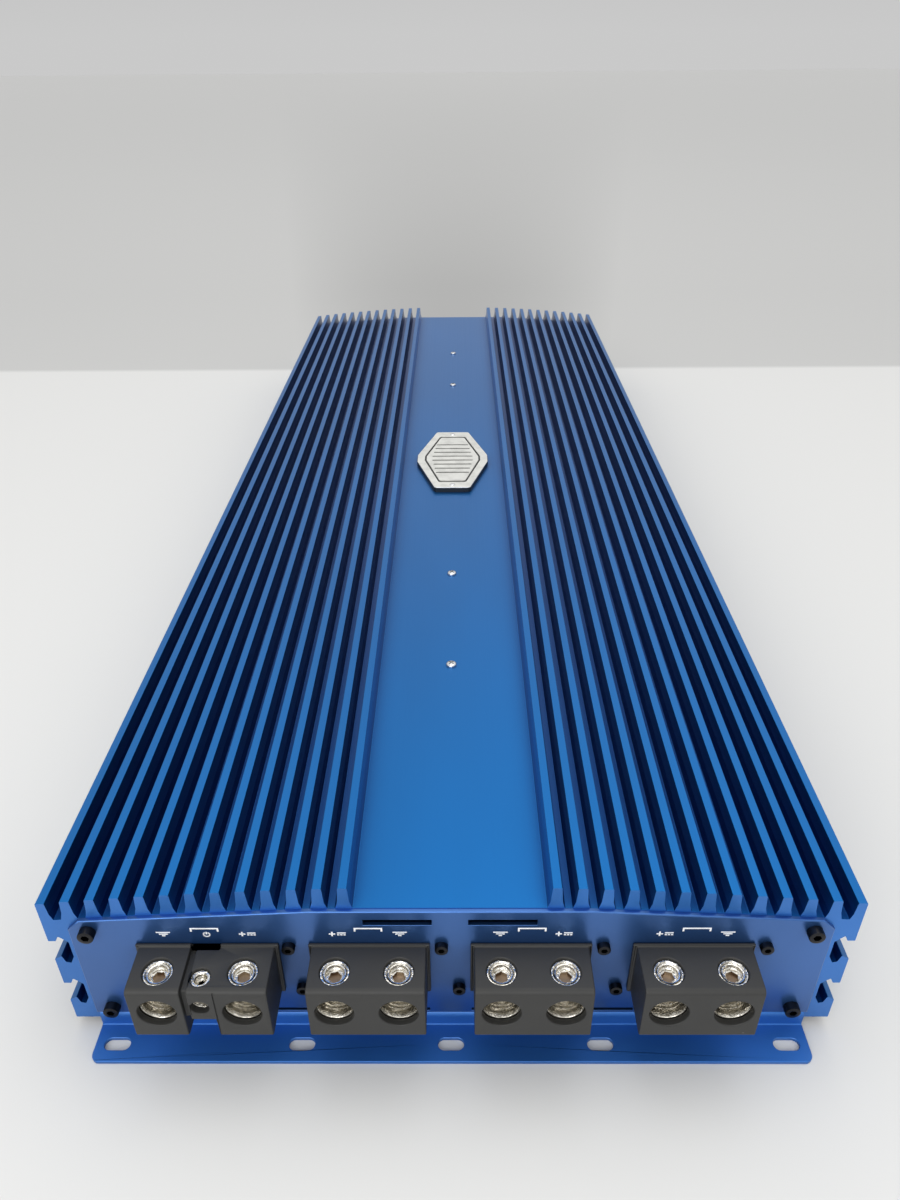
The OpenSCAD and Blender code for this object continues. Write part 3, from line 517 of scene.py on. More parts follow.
def make_heatsink():
    section = max(face_outlines("heatsink", NEAR_END), key=len)
    bm = prism(rounded_outline(straightened(section), 0.35 * MM), NEAR_END, FAR_END)
    z_to_y = Matrix(((1, 0, 0, 0), (0, 0, 1, 0), (0, 1, 0, 0), (0, 0, 0, 1)))
    moved(bm, z_to_y)
    obj = new_object("heatsink_detail", bm, case_blue)
    obj.data.materials.append(cut_blue)
    for poly in obj.data.polygons:
        poly.material_index = int(abs(poly.normal.y) > 0.9)
    stand_in(obj, "heatsink", 28)


make_heatsink()


# ---- sheet metal

def bracket_section(foot_tip, inner, outward, leg_end, top, thick):
    """The stepped section of a bracket, as (y, z) points with its two bends rounded."""
    face = inner + outward * thick
    points = [(foot_tip, 0), (inner, 0), (inner, top - thick), (leg_end, top - thick),
              (leg_end, top), (face, top), (face, thick), (foot_tip, thick)]
    bend, soft, edge = 2.6 * MM, 0.6 * MM, 0.3 * MM
    radii = (edge, bend, soft, edge, edge, bend, soft, edge)
    outline = []
    for (before, here, after), radius in zip(corners_of(points), radii):
        reach = min(radius, before.length / 2, after.length / 2)
        outline += curve(before, here, after, reach, 5)
    return outline


def cut_slots(obj, outward, thick):
    """Cuts the foot's slots at the frame's mounts."""
    slots = mounts["foot_slots_outer"]["dims"]
    slot_y = outward * slots["spacing_y_mm"] / 2 * MM
    end_r = slots["hole_r_mm"] * MM
    straight = slots["slot_length_mm"] / 2 * MM - end_r
    xs = [0]
    for name in ("foot_slots_inner", "foot_slots_outer"):
        xs += [s * mounts[name]["dims"]["spacing_x_mm"] / 2 * MM for s in (-1, 1)]
    for x in xs:
        ends = [(x + straight + end_r * cos(a), slot_y + end_r * sin(a))
                for a in (radians(-90 + 15 * k) for k in range(13))]
        other = [(2 * x - px, 2 * slot_y - py) for px, py in ends]
        cut(obj, prism(ends + other, -MM, 2 * thick))


def narrow_leg(obj, inner, leg_end, lo, hi):
    """Cuts the leg under the case back to where it fits between the side walls."""
    leg_in = 4.2 * MM
    y0, y1 = sorted((inner, leg_end + (leg_end - inner)))
    for side, edge in ((-1, lo.x), (1, hi.x)):
        x0, x1 = sorted((edge - side * leg_in, edge + side * MM))
        cut(obj, box_bmesh((x0, y0, hi.z - 3 * MM), (x1, y1, hi.z + MM)))


def round_foot_corners(obj, foot_tip, outward, lo, hi):
    """Rounds the foot's two outer corners."""
    radius = 3 * MM
    for side, edge in ((-1, lo.x), (1, hi.x)):
        x = edge - side * radius
        y = foot_tip - outward * radius
        corner = (edge + side * MM, foot_tip + outward * MM)
        arc = [(x + side * radius * sin(a), y + outward * radius * cos(a))
               for a in (radians(15 * k) for k in range(7))]
        cut(obj, prism(arc + [(corner[0], arc[-1][1]), corner, (arc[0][0], corner[1])], -MM, 3 * MM))


def make_bracket(node):
    """A foot bent up to a leg that goes under the case."""
    lo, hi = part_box(node)
    outward, foot_tip = end_face(lo, hi)
    thick = 2 * mounts["foot_slots_outer"]["pos_m"][2]
    inner = NEAR_END if outward < 0 else FAR_END
    leg_end = hi.y if outward < 0 else lo.y
    bm = prism(bracket_section(foot_tip, inner, outward, leg_end, hi.z, thick), lo.x, hi.x)
    z_to_x = Matrix(((0, 0, 1, 0), (1, 0, 0, 0), (0, 1, 0, 0), (0, 0, 0, 1)))
    moved(bm, z_to_x)
    obj = new_object(node + "_detail", bm, foot_blue)
    cut_slots(obj, outward, thick)
    narrow_leg(obj, inner, leg_end, lo, hi)
    round_foot_corners(obj, foot_tip, outward, lo, hi)
    bevelled(obj, 0.18 * MM, 1, angle=60)
    stand_in(obj, node)


def moved_in(points, amount, outer):
    """An outline moved by an amount into the plate's material."""
    area = sum(a[0] * b[1] - b[0] * a[1] for a, b in zip(points, points[1:] + points[:1]))
    side = 1 if (area > 0) == outer else -1
    out = []
    for before, here, after in corners_of(points):
        before.normalize()
        after.normalize()
        a = Vector((before.y, -before.x)) * side
        b = Vector((-after.y, after.x)) * side
        out.append(tuple(here + (a + b) / (1 + a.dot(b)) * amount))
    return out


def make_end_plate(node):
    """A flat plate with the CAD node's outline and holes, its outer edges rounded."""
    outward, front = end_face(*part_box(node))
    back = front - outward * PLATE_T
    outlines = [straightened(loop) for loop in face_outlines(node, front)]
    steps = 4
    bm = bmesh.new()
    rims = {0: [], steps + 1: []}
    for k, loop in enumerate(outlines):
        edge = 0.15 * MM if k else 0.5 * MM
        levels = [(0, back)]
        for i in range(steps + 1):
            turn = pi / 2 * i / steps
            levels.append((edge * (1 - cos(turn)), front - outward * edge * (1 - sin(turn))))
        rings = [[bm.verts.new((x, y, z)) for x, z in moved_in(loop, inset, k == 0)] for inset, y in levels]
        for low, high in zip(rings, rings[1:]):
            for i in range(len(loop)):
                j = (i + 1) % len(loop)
                bm.faces.new((low[i], low[j], high[j], high[i]))
        for level, rim in rims.items():
            rim.append(rings[level])
    for rim in rims.values():
        verts = [vert for ring in rim for vert in ring]
        flat = [[Vector((v.co.x, v.co.z, 0)) for v in ring] for ring in rim]
        for corners in tessellate_polygon(flat):
            bm.faces.new([verts[c] for c in corners])
    obj = new_object(node + "_detail", bm, sheet_blue)
    stand_in(obj, node)


make_bracket("power_bracket")
make_bracket("control_bracket")
make_end_plate("power_end_plate")
make_end_plate("control_end_plate")
softened("bottom_plate", 0.2 * MM, steel_black)


# ---- screws

def threaded(radius, z0, z1, pitch, depth):
    """Profile points of a row of thread ridges."""
    points = []
    turns = max(1, round((z1 - z0) / pitch))
    step = (z1 - z0) / turns
    for i in range(turns):
        points += [(radius - depth, z0 + i * step), (radius, z0 + (i + 0.5) * step)]
    points.append((radius - depth, z1))
    return points


def loose_mesh(bm, *cuts):
    """A mesh for repeated pieces, with tools cut out of it."""
    obj = new_object("part", bm)
    for tool in cuts:
        cut(obj, tool)
    shade(obj, 32)
    mesh = obj.data
    bpy.data.objects.remove(obj)
    return mesh


def hex_key(across, z0, z1):
    """The space of a hexagonal socket."""
    return prism(hexagon(across / sqrt(3)), z0, z1)


def cross_key(reach, half_thick, z0, z1, turn):
    """The two bars of a cross recess."""
    bars = []
    for quarter in (0, pi / 2):
        bar = box_bmesh((-reach, -half_thick, z0), (reach, half_thick, z1))
        turned(bar, quarter + turn)
        bars.append(bar)
    return bars


THREAD = 0.5 * MM
THREAD_DEEP = 0.12 * MM


def socket_screw_mesh(head_r, head_h, shank_r, length):
    """A socket-head screw, its head above z = 0, with a knurled rim."""
    edge = 0.25 * MM
    knurls = 36
    profile = [(0, -length), (shank_r * 0.7, -length)]
    profile += threaded(shank_r, -length + 0.4 * MM, -0.2 * MM, THREAD, THREAD_DEEP)
    profile += [(shank_r, 0), (head_r - 0.1 * MM, 0), (head_r, 0.15 * MM), (head_r, head_h - edge),
                (head_r - edge * 0.3, head_h - edge * 0.3), (head_r - edge, head_h), (0, head_h)]
    bm = revolved(profile, 2 * knurls)
    for vert in bm.verts:
        if abs(hypot(vert.co.x, vert.co.y) - head_r) < 1e-6:
            step = round(atan2(vert.co.y, vert.co.x) / (pi / knurls))
            if step % 2 == 0:
                vert.co.xy *= 0.965
    return loose_mesh(bm, hex_key(head_r * 0.92, head_h * 0.35, head_h + MM))


def dome(radius, low, height):
    """Points of a low dome from its rim, at z = low, to near its top."""
    turns = [radians(15 * k) for k in range(6)]
    return [(radius * cos(a), low + height * sin(a)) for a in turns]


def pan_screw_mesh(head_r, head_h, shank_r, length):
    """A pan-head screw with a cross recess, its head above z = 0."""
    profile = [(0, -length), (shank_r, -length), (shank_r, 0), (head_r * 0.98, 0)]
    profile += dome(head_r, head_h * 0.45, head_h * 0.55) + [(0, head_h)]
    cross = cross_key(head_r * 0.62, 0.32 * MM, head_h * 0.35, head_h + MM, pi / 4)
    return loose_mesh(revolved(profile, 40), *cross)


def countersunk_screw_mesh(head_r, shank_r, length):
    """A countersunk screw with a cross recess: its face at z = 0, its shank going up."""
    cone = head_r - shank_r
    profile = [(0, 0), (head_r - 0.05 * MM, 0), (head_r, 0.08 * MM), (shank_r, cone)]
    profile += threaded(shank_r, cone + 0.3 * MM, length - 0.4 * MM, THREAD, THREAD_DEEP)
    profile += [(shank_r * 0.7, length), (0, length)]
    cross = cross_key(head_r * 0.55, 0.3 * MM, -MM, cone * 0.7, 0.4)
    return loose_mesh(revolved(profile, 32), *cross)


def end_screw_places(node, head_h):
    """A matrix for each end screw, from the CAD solids: z points out of the end."""
    places = []
    for lo, hi in island_boxes(node):
        outward, tip = end_face(lo, hi)
        mid = middle(lo, hi)
        places.append(Matrix.Translation((mid.x, tip - outward * head_h, mid.z)) @ OUT[outward])
    return places


def upright_places(node, z_of):
    """A matrix for each upright piece of a node; z_of(lo, hi) gives its height."""
    return [Matrix.Translation((*middle(lo, hi).xy, z_of(lo, hi))) for lo, hi in island_boxes(node)]


def make_screws():
    for node, head_r, head_h, shank_r, length in (
            ("end_plate_screws", 2.75 * MM, 3 * MM, 1.42 * MM, 11.8 * MM),
            ("terminal_screws", 2.25 * MM, 2.2 * MM, 1.18 * MM, 4.9 * MM)):
        mesh = socket_screw_mesh(head_r, head_h, shank_r, length)
        repeated(node, mesh, end_screw_places(node, head_h), screw_black)
    head_h = 1.6 * MM
    repeated("strip_screws", pan_screw_mesh(2.35 * MM, head_h, 1.4 * MM, 9 * MM),
             upright_places("strip_screws", lambda lo, hi: hi.z - head_h), bright_zinc)
    for node in ("bottom_plate_screws", "bracket_screws"):
        lo, hi = island_boxes(node)[0]
        mesh = countersunk_screw_mesh((hi.x - lo.x) / 2, 1.42 * MM, hi.z - lo.z)
        repeated(node, mesh, upright_places(node, lambda lo, hi: lo.z), screw_black)


make_screws()


# ---- terminal blocks, their clamps and set screws

def make_block(name):
    """A moulded block, with a painted highlight line along its front top edge."""
    block = softened(name, 0.45 * MM, block_black, segments=3)
    block.data.materials.append(painted_edge_highlight)
    lo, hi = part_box(name)
    outward, front = end_face(lo, hi)
    near = 1.9 * MM
    # Painted highlight: faces on the rounded front top edge take the paler grey
    for poly in block.data.polygons:
        at_edge = poly.center.z > hi.z - near and abs(poly.center.y - front) < near
        poly.material_index = int(at_edge and 0.55 < poly.normal.y * outward < 0.86 and poly.normal.z > 0.4)


def part_remote_block(block):
    """Parts the three-way block's small way from the one beside it with a fine line."""
    lo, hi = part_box("remote_power_block")
    line_x = mounts["remote_wire"]["pos_m"][0] + 4.9 * MM
    plate_face = NEAR_END - PLATE_T
    cut(block, box_bmesh((line_x, lo.y - MM, lo.z), (line_x + 0.5 * MM, lo.y + 0.4 * MM, hi.z + MM)))
    cut(block, box_bmesh((line_x, lo.y - MM, hi.z - MM), (line_x + 0.4 * MM, plate_face - MM, hi.z + MM)))
    for vert in block.data.vertices:
        vert.co.y = max(vert.co.y, lo.y)


for block_name in BLOCKS:
    make_block(block_name)
part_remote_block(bpy.data.objects["remote_power_block_detail"])


def bore_tool(bore_r):
    """The wire way of a clamp: a stepped mouth, shallow rings and a short cone at its end, along +Y."""
    mouth = bore_r + 0.55 * MM
    depth = 11.2 * MM
    ring_w = 0.5 * MM
    profile = [(0, -MM), (mouth + MM, -MM), (mouth, 0), (mouth - 0.25 * MM, 0.3 * MM),
               (bore_r + 0.1 * MM, 1.1 * MM), (bore_r, 1.4 * MM)]
    for ring_at in (2.7 * MM, 4.1 * MM, 6.3 * MM, 7.6 * MM):
        profile += [(bore_r, ring_at), (bore_r + 0.13 * MM, ring_at + ring_w / 2), (bore_r, ring_at + ring_w)]
    profile += [(bore_r, depth), (bore_r * 0.3, depth + 1.2 * MM), (0, depth + 1.2 * MM)]
    bm = revolved(profile, 64)
    turned(bm, radians(2.8))
    turned(bm, radians(-90), "X")
    return bm


def screw_hole_tool(screw_r, top, screw_y):
    """The set screw's hole, from inside the wire way to the collar's countersunk top."""
    low = -0.7 * MM
    hole_r = screw_r + 0.05 * MM
    bm = revolved([(0, low), (hole_r, low), (hole_r, top - 0.45 * MM), (screw_r + 0.45 * MM, top),
                   (screw_r + 0.8 * MM, top + MM), (0, top + MM)], 64)
    shifted(bm, screw_y)
    return bm


def add_stud(body, radius, start, end):
    """Joins the threaded stud behind a clamp to its mesh."""
    stud = revolved([(0, 0)] + threaded(radius, 0, end - start - 0.5 * MM, 0.8 * MM, 0.2 * MM)
                    + [(radius - 0.6 * MM, end - start), (0, end - start)], 32)
    turned(stud, radians(-90), "X")
    shifted(stud, start)
    merged([(copied(body.data), STILL), (stud, STILL)]).to_mesh(body.data)


def clamp_mesh(lo, hi, screw_box):
    """A nickel-plated clamp: a body with a wire way, and a collar with a screw hole.

    Made about the origin at its wire way's axis, with y = 0 at its front and +y going inward."""
    half = (hi.x - lo.x) / 2
    large = half > 5 * MM
    front = end_face(lo, hi)[1]
    bore_r = mounts["ground_wire_1" if large else "remote_wire"]["dims"]["r_mm"] * MM
    screw_r = (screw_box[1].x - screw_box[0].x) / 2
    screw_y = abs(middle(*screw_box).y - front)
    top = hi.z - lo.z - half
    collar_r = screw_r + (0.95 if large else 1.25) * MM
    length = 14.4 * MM if large else 11 * MM
    body = new_object("clamp", box_bmesh((-half, 0, -half), (half, length, half)))
    bevelled(body, 0.5 * MM, 2)
    collar = revolved([(0, 0), (collar_r, 0), (collar_r, top - 0.15 * MM),
                       (collar_r - 0.15 * MM, top), (0, top)], 64)
    shifted(collar, screw_y)
    combined(body, collar, "UNION")
    cut(body, screw_hole_tool(screw_r, top, screw_y))
    cut(body, bore_tool(bore_r))
    add_stud(body, (3 if large else 1.2) * MM, length, hi.y - lo.y)
    shade(body, 30)
    mesh = body.data
    bpy.data.objects.remove(body)
    return mesh


def make_clamps():
    screws = [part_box(name) for name in SET_SCREWS]
    whole = bmesh.new()
    for lo, hi in island_boxes("wire_clamps"):
        mid = middle(lo, hi)
        outward, front = end_face(lo, hi)
        own_end = [box for box in screws if box[0].y * front > 0]
        screw_box = min(own_end, key=lambda box: abs(middle(*box).x - mid.x))
        mesh = clamp_mesh(lo, hi, screw_box)
        turn = Matrix.Rotation(pi if outward > 0 else 0, 4, "Z")
        mesh.transform(Matrix.Translation((mid.x, front, lo.z + (hi.x - lo.x) / 2)) @ turn)
        whole.from_mesh(mesh)
        bpy.data.meshes.remove(mesh)
    data = bpy.data.meshes.new("wire_clamps")
    whole.to_mesh(data)
    whole.free()
    stand_in(place("wire_clamps_detail", data, nickel), "wire_clamps", 30)


make_clamps()


def set_screw_mesh(radius, length):
    """A headless screw from z = -length to 0: threaded, with a dished top, a hex socket and a cup point."""
    chamfer = 0.2 * MM
    dish = radius * 0.84
    ridge = dish - 0.15 * MM
    floor = -min(1.9 * MM, length * 0.42)
    profile = [(0, -length + 0.5 * MM), (radius * 0.45, -length), (radius * 0.7, -length)]
    profile += threaded(radius, -length + chamfer, -chamfer, 0.9 * MM, 0.22 * MM)
    profile += [(radius - chamfer, 0), (dish, -0.15 * MM), (ridge, floor * 0.35), (dish, floor * 0.5),
                (ridge, floor * 0.65), (dish - 0.05 * MM, floor * 0.8), (dish - 0.4 * MM, floor),
                (radius * 0.60, floor), (radius * 0.52, floor - 0.2 * MM), (0, floor - 0.2 * MM)]
    return loose_mesh(revolved(profile, 60), hex_key(radius, -length * 0.78, MM))


def make_set_screw(name, turn):
    """A set screw on its own body, turned so that the sockets don't all line up."""
    lo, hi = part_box(name)
    mid = middle(lo, hi)
    mesh = set_screw_mesh((hi.x - lo.x) / 2, hi.z - lo.z)
    mesh.transform(Matrix.Translation((mid.x, mid.y, hi.z)) @ Matrix.Rotation(turn, 4, "Z"))
    obj = place(name + "_detail", mesh, nickel, name)
    mesh.materials.append(socket_dark)
    for poly in mesh.polygons:
        inside = (poly.center.xy - mid.xy).length < (hi.x - lo.x) * 0.27
        poly.material_index = int(inside and lo.z + MM * 0.3 < poly.center.z < mid.z)
    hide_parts(name)


for row_place, screw_name in enumerate(SET_SCREWS):
    make_set_screw(screw_name, row_place * 1.7)


# ---- badge

def make_badge():
    """A plain eight-sided plate: dark sides, a bright rim, a dark line and a ribbed middle."""
    lo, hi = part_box("badge_plate")
    half_w = (hi.x - lo.x) / 2
    half_l = (hi.y - lo.y) / 2
    top = hi.z
    low = top - 0.45 * MM

    def outline(inset):
        wide = half_w - inset
        long = half_l - inset * 1.7
        end = 11.2 * MM - inset * 0.5
        side = 5.5 * MM - inset * 0.4
        right = [(end, -long), (wide, -side), (wide, side), (end, long)]
        return rounded_outline([(-end, -long)] + right + [(-x, y) for x, y in right[:0:-1]], 2 * MM)

    def layer(name, inset, z0, z1, material):
        obj = new_object(name, prism(outline(inset), z0, z1), material)
        return obj

    base = layer("badge_base_detail", 0, lo.z, low, dark_edge)
    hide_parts("badge_plate")
    shade(base)
    rim = layer("badge_rim_detail", 0.2 * MM, low, top, brushed_silver)
    cut(rim, prism(outline(5.0 * MM), top - MM, top + MM))
    bevelled(rim, 0.12 * MM, 2, angle=50)
    shade(rim)
    ribbed = layer("badge_middle_detail", 6.2 * MM, low, top - 0.05 * MM, brushed_silver)
    grooves = 8
    half_groove = 0.8 * MM
    for i in range(grooves):
        y = (i - (grooves - 1) / 2) * 6.6 * MM
        x = (half_w - 9.5 * MM) * (1 - 0.45 * abs(y) / half_l)
        corners = [(-x, y - half_groove), (x, y - half_groove), (x, y + half_groove), (-x, y + half_groove)]
        cut(ribbed, prism(rounded_outline(corners, 0.7 * MM), low - 0.01 * MM, top + MM))
    shade(ribbed)
    head = 0.6 * MM
    shank = 0.9 * MM
    profile = [(0, -6 * MM), (shank, -6 * MM), (shank, 0)] + dome(1.8 * MM, 0, head) + [(0, head)]
    repeated("badge_rivets", loose_mesh(revolved(profile, 32)),
             upright_places("badge_rivets", lambda lo, hi: hi.z - head), bright_zinc)


make_badge()


# ---- controls

def make_knob(name):
    """A fluted knob with a dished face and a white pointer line."""
    lo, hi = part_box(name)
    mid = middle(lo, hi)
    radius = (hi.x - lo.x) / 2
    depth = hi.y - lo.y
    body_l = 9 * MM
    flutes = 20
    flute_depth = 0.07
    stem_r = 3 * MM
    profile = [(0, -depth), (stem_r, -depth), (stem_r, -body_l), (radius * 0.98, -body_l),
               (radius, -body_l + 0.4 * MM), (radius, -1.6 * MM), (radius * 0.96, -0.7 * MM),
               (radius * 0.86, -0.15 * MM), (radius * 0.74, 0), (radius * 0.68, -0.25 * MM), (0, -0.45 * MM)]
    bm = revolved(profile, flutes * 6)
    for vert in bm.verts:
        if hypot(vert.co.x, vert.co.y) > radius * 0.94 and vert.co.z > -body_l - MM:
            wave = 0.5 + 0.5 * cos(atan2(vert.co.y, vert.co.x) * flutes)
            vert.co.xy *= 1 - flute_depth * wave
    matrix = Matrix.Translation((mid.x, hi.y, mid.z)) @ OUT[1]
    obj = new_object(name + "_detail", bm, knob_black, name)
    obj.data.transform(matrix)
    stand_in(obj, name, 40)
    half = 0.35 * MM
    line = box_bmesh((-half, radius * 0.15, -0.5 * MM), (half, radius * 0.66, -0.22 * MM))
    moved(line, matrix @ Matrix.Rotation(pi, 4, "Z"))
    pointer = new_object(name + "_pointer", line, print_white, name)
    shade(pointer)


for knob_name in KNOBS:
    make_knob(knob_name)


def jack_shell(depth, nut):
    """A phono jack's shell with a rolled rim, a threaded root and a hexagonal nut starting at z = nut."""
    r = 4.15 * MM
    bore = 3.55 * MM
    nut_h = 1.8 * MM
    groove = r - 0.2 * MM
    profile = [(bore, -depth), (r, -depth), (r, nut)] + threaded(r, nut + nut_h, -6 * MM, 0.7 * MM, 0.18 * MM)
    profile += [(groove, -5.6 * MM), (groove, -1.1 * MM), (r, -0.9 * MM), (r, -0.3 * MM), (groove, 0),
                (bore + 0.15 * MM, 0), (bore, -0.3 * MM), (bore, -depth)]
    shell = revolved(profile, 48)
    bmesh.ops.remove_doubles(shell, verts=shell.verts, dist=1e-7)
    ring = new_object("nut", prism(hexagon(6.2 * MM), nut, nut + nut_h))
    cut(ring, revolved([(0, nut - MM), (r, nut - MM), (r, nut + 3 * MM), (0, nut + 3 * MM)], 48))
    bevelled(ring, 0.25 * MM, 2, angle=50)
    shell.from_mesh(ring.data)
    bpy.data.objects.remove(ring)
    return shell


def make_jacks():
    parts = []
    for lo, hi in island_boxes("input_jack_shells"):
        mid = middle(lo, hi)
        shell = jack_shell(hi.y - lo.y, FAR_END + PLATE_T - hi.y)
        parts.append((shell, Matrix.Translation((mid.x, hi.y, mid.z)) @ OUT[1]))
    obj = new_object("input_jack_shells_detail", merged(parts), nickel)
    stand_in(obj, "input_jack_shells", 32)
    cores = softened("input_jack_cores", 0.15 * MM, jack_white)
    cores.data.materials.append(jack_red)
    xs = sorted({round(lo.x, 4) for lo, hi in island_boxes("input_jack_cores")})
    for poly in cores.data.polygons:
        nearest = min(range(len(xs)), key=lambda i: abs(xs[i] + 6 * MM - poly.center.x))
        poly.material_index = nearest % 2


make_jacks()


def make_remote_jack():
    """The remote level socket, with a row of sprung contacts inside."""
    softened("remote_jack", 0.3 * MM, knob_black)
    lo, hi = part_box("remote_jack")
    mid = middle(lo, hi)
    half = 0.25 * MM
    z = mid.z + 2.2 * MM
    parts = []
    for i in range(6):
        x = mid.x + (i - 2.5) * 1.3 * MM
        contact = box_bmesh((x - half, hi.y - 8 * MM, z), (x + half, hi.y - 1.5 * MM, z + 0.5 * MM))
        parts.append((contact, STILL))
    contacts = new_object("remote_jack_contacts", merged(parts), contact_gold)
    shade(contacts)


make_remote_jack()
softened("phase_switch_lever", 0.3 * MM, knob_black, body="phase_switch_lever")


# ---- printed marks: plain signs and scales, in thin raised ink

# Each sign is a list of bars (x0, x1, z0, z1), in millimetres from the sign's place
PLUS_ARM, PLUS_HALF, PLUS_X = 1.1, 0.275, -1.6
DIRECT_CURRENT = [(0.1, 3, 0.25, 0.8)] + [(x, x + 0.75, -0.7, -0.15) for x in (0.1, 1.15, 2.2)]
PLUS = [(PLUS_X - PLUS_ARM, PLUS_X + PLUS_ARM, -PLUS_HALF, PLUS_HALF),
        (PLUS_X - PLUS_HALF, PLUS_X + PLUS_HALF, PLUS_HALF, PLUS_ARM),
        (PLUS_X - PLUS_HALF, PLUS_X + PLUS_HALF, -PLUS_ARM, -PLUS_HALF)] + DIRECT_CURRENT
MINUS = [(-1.1, 1.1, -0.3, 0.3)]
GROUND = [(-half, half, z - 0.25, z + 0.25) for half, z in ((2.4, 0.85), (1.5, 0.0), (0.6, -0.85))]
TURNS = [radians(130 + k * 280 / 13) for k in range(14)]
RING = [(1.05 * cos(a), 1.05 * sin(a)) for a in TURNS]
SWITCH = [(-0.25, 0.25, 0.1, 1.3)] + [(x - 0.22, x + 0.22, z - 0.22, z + 0.22) for x, z in RING]
PAIR = [(-4.8, 4.8, 0, 0.6), (-4.8, -4.2, -1.2, 0), (4.2, 4.8, -1.2, 0)]
JACK_LINE = [(-3, 3, 1.2, 1.6)]
INK = 0.06 * MM


def sign(bars, x, z, outward):
    """The bars of a sign on one of the end plates, with its place at (x, z)."""
    face = (NEAR_END if outward < 0 else FAR_END) + outward * PLATE_T
    y0, y1 = sorted((face, face + outward * INK))
    return [(box_bmesh((x + x0 * MM, y0, z + z0 * MM), (x + x1 * MM, y1, z + z1 * MM)), STILL)
            for x0, x1, z0, z1 in bars]


def dial(x, z):
    """Eleven ticks round a knob, longer at the ends and the middle."""
    ticks = []
    for k in range(11):
        tick = box_bmesh((-0.2 * MM, 7.4 * MM, 0), (0.2 * MM, (8.4 if k % 5 else 9.2) * MM, INK))
        turn = Matrix.Rotation(radians(45 + 27 * k), 4, "Z")
        ticks.append((tick, Matrix.Translation((x, FAR_END + PLATE_T, z)) @ OUT[1] @ turn))
    return ticks


def print_marks(name, parts):
    obj = new_object(name, merged(parts), print_white)
    shade(obj)


def make_marks():
    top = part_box("power_block_left")[1].z
    z = top + 2.9 * MM
    parts = []
    for i in range(1, 5):
        parts += sign(GROUND, mounts[f"ground_wire_{i}"]["pos_m"][0], z, -1)
        parts += sign(PLUS, mounts[f"supply_wire_{i}"]["pos_m"][0], z, -1)
    for block in BLOCKS[:4]:
        parts += sign(PAIR, middle(*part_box(block)).x, top + 5.4 * MM, -1)
    parts += sign(SWITCH, mounts["remote_wire"]["pos_m"][0], z - 0.2 * MM, -1)
    print_marks("power_marks", parts)
    parts = []
    for knob in KNOBS:
        mid = middle(*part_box(knob))
        parts += dial(mid.x, mid.z)
    for i in range(1, 5):
        parts += sign(PLUS if i % 2 else MINUS, mounts[f"speaker_wire_{i}"]["pos_m"][0], z, 1)
    for lo, hi in island_boxes("input_jack_shells"):
        parts += sign(JACK_LINE, middle(lo, hi).x, hi.z, 1)
    print_marks("control_marks", parts)


make_marks()


# ---- inner parts, kept as CAD meshes with their own surfaces

def board_surface():
    """Green solder mask over a faint web of tracks."""
    s = Shader("board_green", (0.012, 0.075, 0.030), 0.32, Coat_Weight=0.3)
    web = s.speckle(240, stretch=(1, 0.35, 1))
    track, gap = (0.020, 0.13, 0.045), (0.008, 0.055, 0.022)
    s.colour(web, [(0.0, track), (0.28, (0.018, 0.11, 0.040)), (0.34, gap)])
    s.gloss(s.noise(120), 0.26, 0.40)
    s.bump((web, 0.3, 0.00004))
    return s.material


def wound_wire():
    """Close turns of enamelled copper wire."""
    s = Shader("wound_wire", (0.60, 0.20, 0.07), 0.28, metallic=0.9, Coat_Weight=0.5, Coat_Roughness=0.15)
    turns = s.node("ShaderNodeTexWave", Vector=s.point(), Scale=300, Distortion=1.5).outputs["Fac"]
    s.colour(turns, shades((0.60, 0.20, 0.07), 0.45, 1.0, 1.15))
    s.gloss(s.noise(500), 0.20, 0.36)
    s.bump((turns, 0.8, 0.0003))
    return s.material


def lamp_lens():
    """A cloudy green lens of a status lamp."""
    s = Shader("lamp_lens", (0.10, 0.55, 0.16), 0.18, Transmission_Weight=0.35)
    s.colour(s.noise(700), shades((0.10, 0.55, 0.16), 0.8, 1.0, 1.1))
    s.gloss(s.noise(900), 0.12, 0.26)
    s.bump((s.noise(1200), 0.1, 0.00001))
    return s.material


board_green = board_surface()
wire_copper = wound_wire()
ferrite = moulded("ferrite", (0.045, 0.045, 0.048), 0.62, grain=900, height=0.00006)
sleeve_black = moulded("sleeve_black", (0.014, 0.015, 0.018), 0.28, grain=2200, height=0.00001)
epoxy_black = moulded("epoxy_black", (0.018, 0.018, 0.018), 0.55, grain=2400, height=0.00002)
pad_grey = moulded("pad_grey", (0.42, 0.43, 0.44), 0.70, grain=1800, height=0.00003)

INNER = [
    (copper, "ground_bus", "plus_bus"),
    (steel, "potentiometers", "phase_switch_body", "clamp_bars"),
    (bright_zinc, "bus_nuts", "centre_standoffs", "board_screws", "clamp_screws"),
    (board_green, "main_board", "control_board"),
    (ferrite, "transformer_cores"),
    (wire_copper, "transformer_windings", "output_inductors"),
    (sleeve_black, "supply_capacitors", "rail_capacitors"),
    (epoxy_black, "transistors"),
    (pad_grey, "thermal_pads"),
    (lamp_lens(), "status_leds"),
]

for inner_material, *inner_nodes in INNER:
    for inner_node in inner_nodes:
        inner_mesh = nodes[inner_node].data
        inner_mesh.materials.clear()
        inner_mesh.materials.append(inner_material)


# ---- floor, light and camera

FLOOR_COLOUR = (0.66, 0.66, 0.65)
# The wall's tone begins between these places along Y
WALL_FROM, WALL_TO = 0.392, 0.402
# The wall's tones against 1 / distance from the camera's plane, top of the picture first
WALL_TONES = [(0.10, 0.575), (0.16, 0.567), (0.40, 0.5475), (0.58, 0.525), (0.77, 0.503), (1.0, 0.500)]
CAMERA_AT = (0.00278, -0.56245, 0.30852)
CAMERA_TURN = (57.771, 0.418, 0.276)


